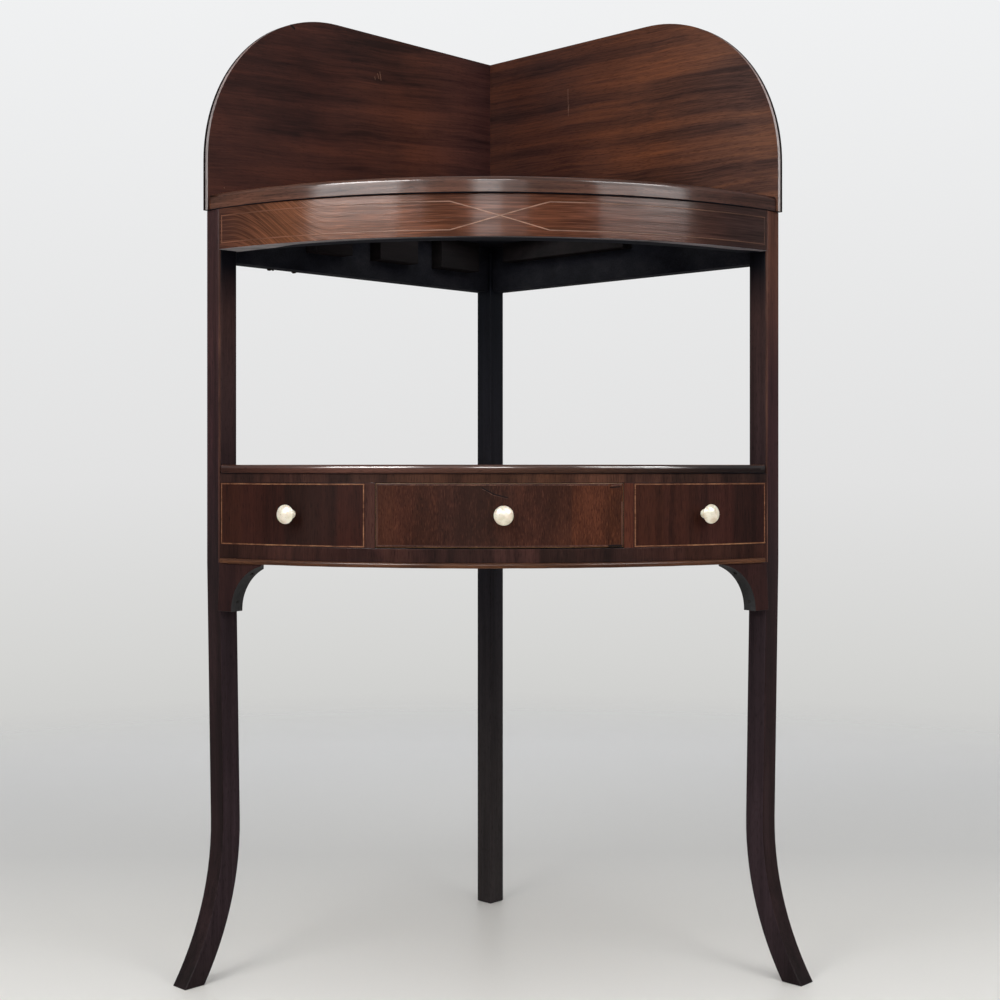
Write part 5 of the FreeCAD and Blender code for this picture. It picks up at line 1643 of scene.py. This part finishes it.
@dataclass
class UpperFrame:
    """Frieze, upper side rails, glue blocks and the frieze's lines; lengths in mm."""
    bottom: float = 757.5
    top: float = 800.0
    thickness: float = 28.0
    arris_x: float = 284.3
    low_line: float = 764.0
    high_line: float = 792.0
    middle: float = 4.5
    half_cross: float = 49.0
    end: float = 282.4
    width: float = 1.4
    # Width of the grey strip under the frieze, which carries the painted highlight, at places along
    # the front
    lip: Places = (
        (-284, 25), (-236, 22), (-208, 12), (-150, 8), (0, 6), (150, 7), (205, 11), (250, 15),
        (276, 8))
    drips: tuple[tuple[float, float, float], ...] = (
        (-242.0, 1.5, 2.1), (-238.5, 2.0, 1.5), (-218.0, 1.5, 2.2))
    drip_z: float = 746.0
    drip_shape: tuple[float, float, float] = (1.2, 1.1, 0.8)
    lumpiness: float = 0.25

    def build(self) -> None:
        """Builds the frieze, dresses the boards and lets in the crossing lines."""
        piece = BowBoard("frieze_board", -self.arris_x, self.arris_x, self.bottom, self.top,
                         self.thickness, lip=self.lip).build([FRIEZE, INSIDE_SHADE_PAINTED, UNDER_FRIEZE])
        finish_piece(piece, Body.STAND, ("frieze_rail",))
        for side, sign in SIDES.items():
            dress_side_board(f"upper_side_rail_{side}", sign)
        for node in ("glue_blocks_left", "glue_batten_right"):
            DRESSER.dress(node, [PINE_IN_SHADE], arris=0.8 * MM)
        self._lines()
        self._glue_drips()

    def _glue_drips(self) -> None:
        """Lets old glue hang in drops from the left rail's lower edge."""
        form = bmesh.new()
        for x, inward, size in self.drips:
            place = Vector((x, x + CORNER_X + CORNER_Y - inward * 2 * SLANT, self.drip_z)) * MM
            ball = bmesh.ops.create_uvsphere(form, u_segments=16, v_segments=10, radius=size * MM)
            for vert in ball["verts"]:
                lump = 1 + self.lumpiness * noise.noise(vert.co * 400 + place * 90)
                vert.co = vert.co * Vector(self.drip_shape) * lump + place
        finish_piece(piece_from(form, "glue_drips", [GLUE], 60), Body.STAND)

    def _lines(self) -> None:
        """Lets in two lines that cross right of the middle, and their ends."""
        left, right = self.middle - self.half_cross, self.middle + self.half_cross
        low, high, end, half = self.low_line, self.high_line, self.end, self.width / 2
        lines = [Line((-end, low), (left, low)), Line((-end, high), (left, high)),
                 Line((left, low), (right, high)), Line((left, high), (right, low)),
                 Line((right, low), (end, low)), Line((right, high), (end, high)),
                 Line((half - end, low + half), (half - end, high - half)),
                 Line((end - half, low + half), (end - half, high - half))]
        piece = FaceLines("frieze_lines", lines, BOXWOOD_FRIEZE, width=1.15, seed=1.0).build()
        finish_piece(piece, Body.STAND, ("frieze_stringing",))


@dataclass
class Legs:
    """Two swept front legs with a line along the arris, and the rear leg; lengths in metres."""
    arris: float = 1.0 * MM

    def build(self) -> None:
        """Dresses the legs; faces to the room are polished, those to the wall are dry."""
        for (side, sign), outside in zip(SIDES.items(), (LEG, LEG_RIGHT)):
            DRESSER.dress(f"front_leg_{side}", [outside, LEG_INSIDE, DRY_UPRIGHT],
                          lambda middle, normal, sign=sign: self._face_finish(normal, sign),
                          arris=self.arris)
            DRESSER.dress(f"leg_stringing_{side}", [BOXWOOD_DULL],
                          arris=0.3 * MM)
        DRESSER.dress("rear_leg", [REAR_LEG, DRY_UPRIGHT],
                      lambda middle, normal: 1 if normal.y > 0.3 else 0, arris=self.arris)

    def _face_finish(self, normal: Vector, sign: int) -> int:
        """Picks the finish of a leg's face.

        Args:
            normal: direction that the face looks in.
            sign: 1 for the left leg, -1 for the right one.

        Returns:
            Number of the finish.
        """
        if facing(normal, -sign, 1) > MOSTLY:
            return 2
        inside = max(facing(normal, sign, -1), facing(normal, sign, 1))
        return 1 if inside > MOSTLY else 0


@dataclass
class Tier:
    """Shelf, bowed rails, bead, dummy fronts and what carries the drawer; lengths in mm."""
    space_low: float = 452.0
    space_high: float = 516.5
    arris_x: float = 284.3
    dummy_thickness: float = 16.0
    string_inset: float = 0.8
    near_leg: float = 282.4
    left_edge: float = -128.5
    right_edge: float = 137.5
    bead_low: float = 433.0
    bead_height: float = 5.0
    bead_proud: float = 3.4
    bead_sink: float = 1.6
    bead_joints: tuple[float, ...] = (-281.6, -189.0, 128.0, 280.0)
    bead_gap: float = 0.3
    nosing_ends: tuple[float, float] = (-281.4, 281.0)

    def build(self) -> None:
        """Builds the tier from the shelf down."""
        DRESSER.dress("tier_shelf", [NOSING, SHELF_TOP, INSIDE_SHADE_PAINTED, NOSING_FACE], self._shelf_finish,
                      arris=0.5 * MM, reshape=self._trim_nosing)
        for node, finish in (("tier_rail_top", UPPER_RAIL), ("tier_rail_bottom", LOWER_RAIL)):
            DRESSER.dress(node, [finish, INSIDE_SHADE_PAINTED], self._front_only, arris=0.35 * MM)
        for side, sign in SIDES.items():
            dress_side_board(f"tier_side_rail_{side}", sign)
            DRESSER.dress(f"divider_{side}", [STILE, INSIDE_SHADE_PAINTED], self._front_only, arris=0.3 * MM)
            for part in ("runner", "guide", "kicker"):
                DRESSER.dress(f"drawer_{part}_{side}", [OAK_SIDE])
        for side, ends, finish in (("left", (-self.arris_x, self.left_edge), DUMMY_LEFT),
                                   ("right", (self.right_edge, self.arris_x), DUMMY_RIGHT)):
            piece = BowBoard(f"dummy_board_{side}", *ends, self.space_low, self.space_high,
                             self.dummy_thickness, arris=0.25).build([finish, INSIDE_SHADE_PAINTED])
            finish_piece(piece, Body.STAND, (f"dummy_front_{side}",))
        DRESSER.dress("drawer_stops", [OAK_ACROSS], arris=0.3 * MM)
        DRESSER.dress("tier_bottom_board", [PINE_BOARD])
        self._bead()
        self._lines()

    def _shelf_finish(self, middle: Vector, normal: Vector) -> int:
        """Picks the finish of the shelf's face.

        Args:
            middle: middle of the face; not used.
            normal: direction that the face looks in.

        Returns:
            0 for the top of the nosing, 1 for the shelf's top, 2 for its underside, 3 for the
            rest of the nosing.
        """
        if abs(normal.z) > 0.9:
            return 1 if normal.z > 0 else 2
        return 0 if normal.z > 0.15 else 3

    def _trim_nosing(self, form: BMesh) -> None:
        """Ends the shelf's nosing beside the lines on the legs' arrises.

        Args:
            form: the shelf.
        """
        for vert in form.verts:
            arm = Vector((vert.co.x, vert.co.y - BOW.centre_y))
            reach = arm.length
            x = min(max(vert.co.x, self.nosing_ends[0] * MM), self.nosing_ends[1] * MM)
            if reach > BOW.radius - 0.5 * MM and x != vert.co.x:
                vert.co.x = x
                vert.co.y = BOW.centre_y - math.sqrt(reach ** 2 - x ** 2)

    def _front_only(self, middle: Vector, normal: Vector) -> int:
        """Polished in front, black with painted shade elsewhere."""
        return 0 if normal.y < -0.2 and abs(normal.z) < 0.5 else 1

    def _bead(self) -> None:
        """Glues a rounded bead along the lower edge, in three lengths."""
        height = self.bead_low + self.bead_height / 2
        lines = [Line((start + self.bead_gap / 2, height), (finish - self.bead_gap / 2, height))
                 for start, finish in zip(self.bead_joints, self.bead_joints[1:])]
        piece = FaceLines("tier_bead_rounded", lines, BEAD, width=self.bead_height,
                          depth=self.bead_proud + self.bead_sink, proud=self.bead_proud,
                          rounding=2.0, waver=0.8, seed=4.0, spacing=8.0).build()
        finish_piece(piece, Body.STAND, ("tier_bead",))

    def _lines(self) -> None:
        """Lets lines in round the dummy fronts."""
        low, high = self.space_low + self.string_inset, self.space_high - self.string_inset
        for side, ends in (("left", (-self.near_leg, self.left_edge - self.string_inset)),
                           ("right", (self.right_edge + self.string_inset, self.near_leg))):
            piece = FaceLines(f"dummy_lines_{side}", ring_lines(*ends, low, high), BOXWOOD,
                              width=1.25, seed=2.0 if side == "left" else 3.0).build()
            finish_piece(piece, Body.STAND, (f"dummy_stringing_{side}",))


@dataclass
class Drawer:
    """The sliding drawer: veneered front on oak sides, back and bottom; lengths in mm."""
    left: float = -118.0
    right: float = 127.0
    low: float = 452.5
    high: float = 516.0
    worn_low: float = 453.2
    thickness: float = 20.0
    side_inset: float = 0.15
    string_inset: float = 0.8
    width: float = 1.4
    lost_from: float = 111.0
    broken_from: float = 114.5
    kept_below: float = 498.0
    crack: Places = ((-13.5, 511.5), (-2.0, 505.5), (12.0, 502.5))
    crack_lip: float = 1.1
    chip: Places = ((111.8, 454.4), (125.7, 454.4))
    gap: Places = ((113.0, 511.8), (123.7, 512.6))

    def build(self) -> None:
        """Builds the front, dresses the drawer's boards and lets in what is left of its line."""
        board = BowBoard("drawer_front_board", self.left + self.side_inset,
                         self.right - self.side_inset, self.worn_low, self.high, self.thickness,
                         arris=0.5, square_ends=True)
        front = board.build([DRAWER_FACE, OAK_ACROSS])
        finish_piece(front, Body.DRAWER, ("drawer_front",))
        for node, finish in (("drawer_side_left", OAK_SIDE), ("drawer_side_right", OAK_SIDE),
                             ("drawer_back", OAK_ACROSS), ("drawer_bottom", OAK_ACROSS)):
            DRESSER.dress(node, [finish], body=Body.DRAWER, arris=0.5 * MM)
        self._lines()

    def _lines(self) -> None:
        """Lets in the line round the front, with its losses, and a crack in the veneer."""
        left, right = self.left + self.string_inset, self.right - self.string_inset
        low, high = self.low + self.string_inset, self.high - self.string_inset
        half = self.width / 2
        lines = [Line((left, low + half + 0.5), (self.lost_from, low + half + 0.5)),
                 Line((left, high - half), (self.broken_from - 3, high - half)),
                 Line((self.broken_from, high - half - 0.8), (right - 1, high - half + 0.3)),
                 Line((left + half, low + self.width), (left + half, high - self.width)),
                 Line((right - half, low + self.width), (right - half, self.kept_below))]
        piece = FaceLines("drawer_lines", lines, BOXWOOD_DULL, seed=5.0).build()
        finish_piece(piece, Body.DRAWER, ("drawer_stringing",))
        lip = tuple((x, z - self.crack_lip) for x, z in self.crack)
        for name, places, finish, width, waver, seed in (
                ("drawer_chip", self.chip, CRACK, 2.2, 0.6, 7.0),
                ("drawer_gap", self.gap, CRACK, 1.2, 1.0, 8.0),
                ("drawer_crack", self.crack, CRACK, 1.2, 3.0, 6.0),
                ("drawer_crack_lip", lip, BOXWOOD_DULL, 0.4, 3.0, 6.0)):
            piece = FaceLines(name, chain(places), finish, width=width, depth=0.45, proud=0.05,
                              rounding=0.06, waver=waver, seed=seed, spacing=2.0).build()
            finish_piece(piece, Body.DRAWER)


@dataclass
class Knob:
    """Turned bone knob; lengths in mm.

    Its section is given by radii and depths below the rim, then by radii and heights above the
    front, down to the end of the spigot in its hole.
    """
    node: str
    x: float
    seed: float
    body: Body = Body.STAND
    z: float = 485.0
    head: float = 9.7
    projection: float = 16.8
    crown: float = 4.3
    crown_steps: int = 9
    curl: Places = ((0.2, -0.15), (0.0, 0.45), (0.25, 1.0))
    below_rim: Places = (
        (8.6, 1.9), (7.2, 2.9), (5.6, 3.9), (4.2, 4.7), (3.4, 5.6), (3.2, 6.8))
    above_front: Places = (
        (3.25, 4.2), (3.6, 2.7), (4.2, 1.6), (4.6, 0.9), (4.6, 0.0), (2.8, -0.2), (2.8, -11.0))
    segments: int = 48
    unevenness: float = 0.22
    lumps_per_mm: float = 0.16

    def profile(self) -> list[tuple[float, float]]:
        """Half section from the middle of the head to the end of the spigot.

        Returns:
            Radius and height of each point.
        """
        crown_radius = (self.head ** 2 + self.crown ** 2) / (2 * self.crown)
        points = []
        edge = self.head - 0.7
        for index in range(self.crown_steps + 1):
            radius = edge * index / self.crown_steps
            drop = crown_radius - math.sqrt(crown_radius ** 2 - radius ** 2)
            points.append((radius, self.projection - drop))
        rim = self.projection - self.crown
        points += [(self.head - inset, rim - depth) for inset, depth in self.curl]
        points += [(radius, rim - depth) for radius, depth in self.below_rim]
        return points + list(self.above_front)

    def build(self) -> None:
        """Turns the knob and sets it on the bowed front."""
        form = bmesh.new()
        rings = []
        for radius, height in self.profile():
            if radius == 0:
                rings.append([form.verts.new((0, 0, height))])
                continue
            rings.append([form.verts.new((radius * math.cos(a), radius * math.sin(a), height))
                          for a in (2 * math.pi * i / self.segments for i in range(self.segments))])
        for upper, lower in zip(rings, rings[1:]):
            for i in range(self.segments):
                j = (i + 1) % self.segments
                if len(upper) == 1:
                    form.faces.new((upper[0], lower[i], lower[j]))
                else:
                    form.faces.new((upper[i], lower[i], lower[j], upper[j]))
        form.faces.new(list(reversed(rings[-1])))
        for vert in form.verts:
            swell = noise.noise(vert.co * self.lumps_per_mm + Vector((self.seed, 0, 0)))
            vert.co += vert.co.normalized() * swell * self.unevenness
        bmesh.ops.recalc_face_normals(form, faces=form.faces)
        outward = BOW.outward(self.x * MM)
        turn = outward.to_track_quat("Z", "Y").to_matrix().to_4x4()
        place = Matrix.Translation(BOW.point(self.x * MM, self.z * MM)) @ turn @ Matrix.Scale(MM, 4)
        bmesh.ops.transform(form, matrix=place, verts=form.verts)
        piece = piece_from(form, f"{self.node}_turned", [BONE], 50)
        finish_piece(piece, self.body, (self.node,))


@dataclass
class Brackets:
    """Hollow-edged brackets under the tier, and their nails; lengths in metres."""
    head_spread: float = 1.4
    head_rise: float = 0.75 * MM
    hollow_x: float = 200 * MM
    foot_z: float = 383 * MM
    taper_height: float = 45 * MM
    taper: float = 2.9 * MM

    def build(self) -> None:
        """Dresses the brackets and drives their nails."""
        for side in SIDES:
            DRESSER.dress(f"bracket_{side}", [BRACKET, BRACKET_HOLLOW_SHADE], self._face_finish,
                          reshape=self._taper_feet)
        DRESSER.dress("bracket_nails", [IRON], arris=0.2 * MM,
                      reshape=self._spread_nails)

    def _face_finish(self, middle: Vector, normal: Vector) -> int:
        """Reddish in front, grey-black with painted shade on the hollow edge."""
        return 0 if normal.dot(BOW.outward(middle.x)) > 0.9 else 1

    def _tapered(self, place: Vector) -> Vector:
        """Moves a point round the bow towards the leg, the further the lower it lies.

        Args:
            place: the point.

        Returns:
            Its new place.
        """
        height = min(1.0, max(0.0, (place.z - self.foot_z) / self.taper_height))
        reach = math.copysign(self.taper * (1 - height ** 2), place.x)
        middle = Vector((0, BOW.centre_y, 0))
        return Matrix.Rotation(reach / BOW.radius, 3, "Z") @ (place - middle) + middle

    def _taper_feet(self, form: BMesh) -> None:
        """Slims a bracket towards its lower end, as wear and old repairs have left it.

        Args:
            form: the bracket.
        """
        for vert in form.verts:
            vert.co = self._tapered(vert.co)

    def _spread_nails(self, form: BMesh) -> None:
        """Thickens each nail as rust swells it, and brings its head out of the hollow edge.

        Args:
            form: the nails.
        """
        for nail in loose_parts(form):
            longest = max((edge for vert in nail for edge in vert.link_edges),
                          key=lambda edge: edge.calc_length())
            axis = (longest.verts[1].co - longest.verts[0].co).normalized()
            centre = sum((vert.co for vert in nail), Vector()) / len(nail)
            hollow = Vector((math.copysign(self.hollow_x, centre.x), centre.y, self.foot_z))
            rise = math.copysign(self.head_rise, axis.dot(hollow - centre))
            place = self._tapered(centre) + axis * rise
            for vert in nail:
                arm = vert.co - centre
                along = axis * arm.dot(axis)
                vert.co = place + along + (arm - along) * self.head_spread


def main() -> None:
    """Builds the studio and the washstand."""
    logging.basicConfig(level=logging.INFO, format="%(message)s")
    for part in (SWEEP, NAILS, Studio(), Splashback(), TopBoard(), UpperFrame(), Legs(), Tier(),
                 Drawer(), Knob("knob_left", -204.0, 1.0), Knob("knob_right", 212.0, 2.0),
                 Knob("drawer_knob", 7.5, 3.0, Body.DRAWER), Brackets()):
        part.build()


if __name__ == "__main__":
    main()
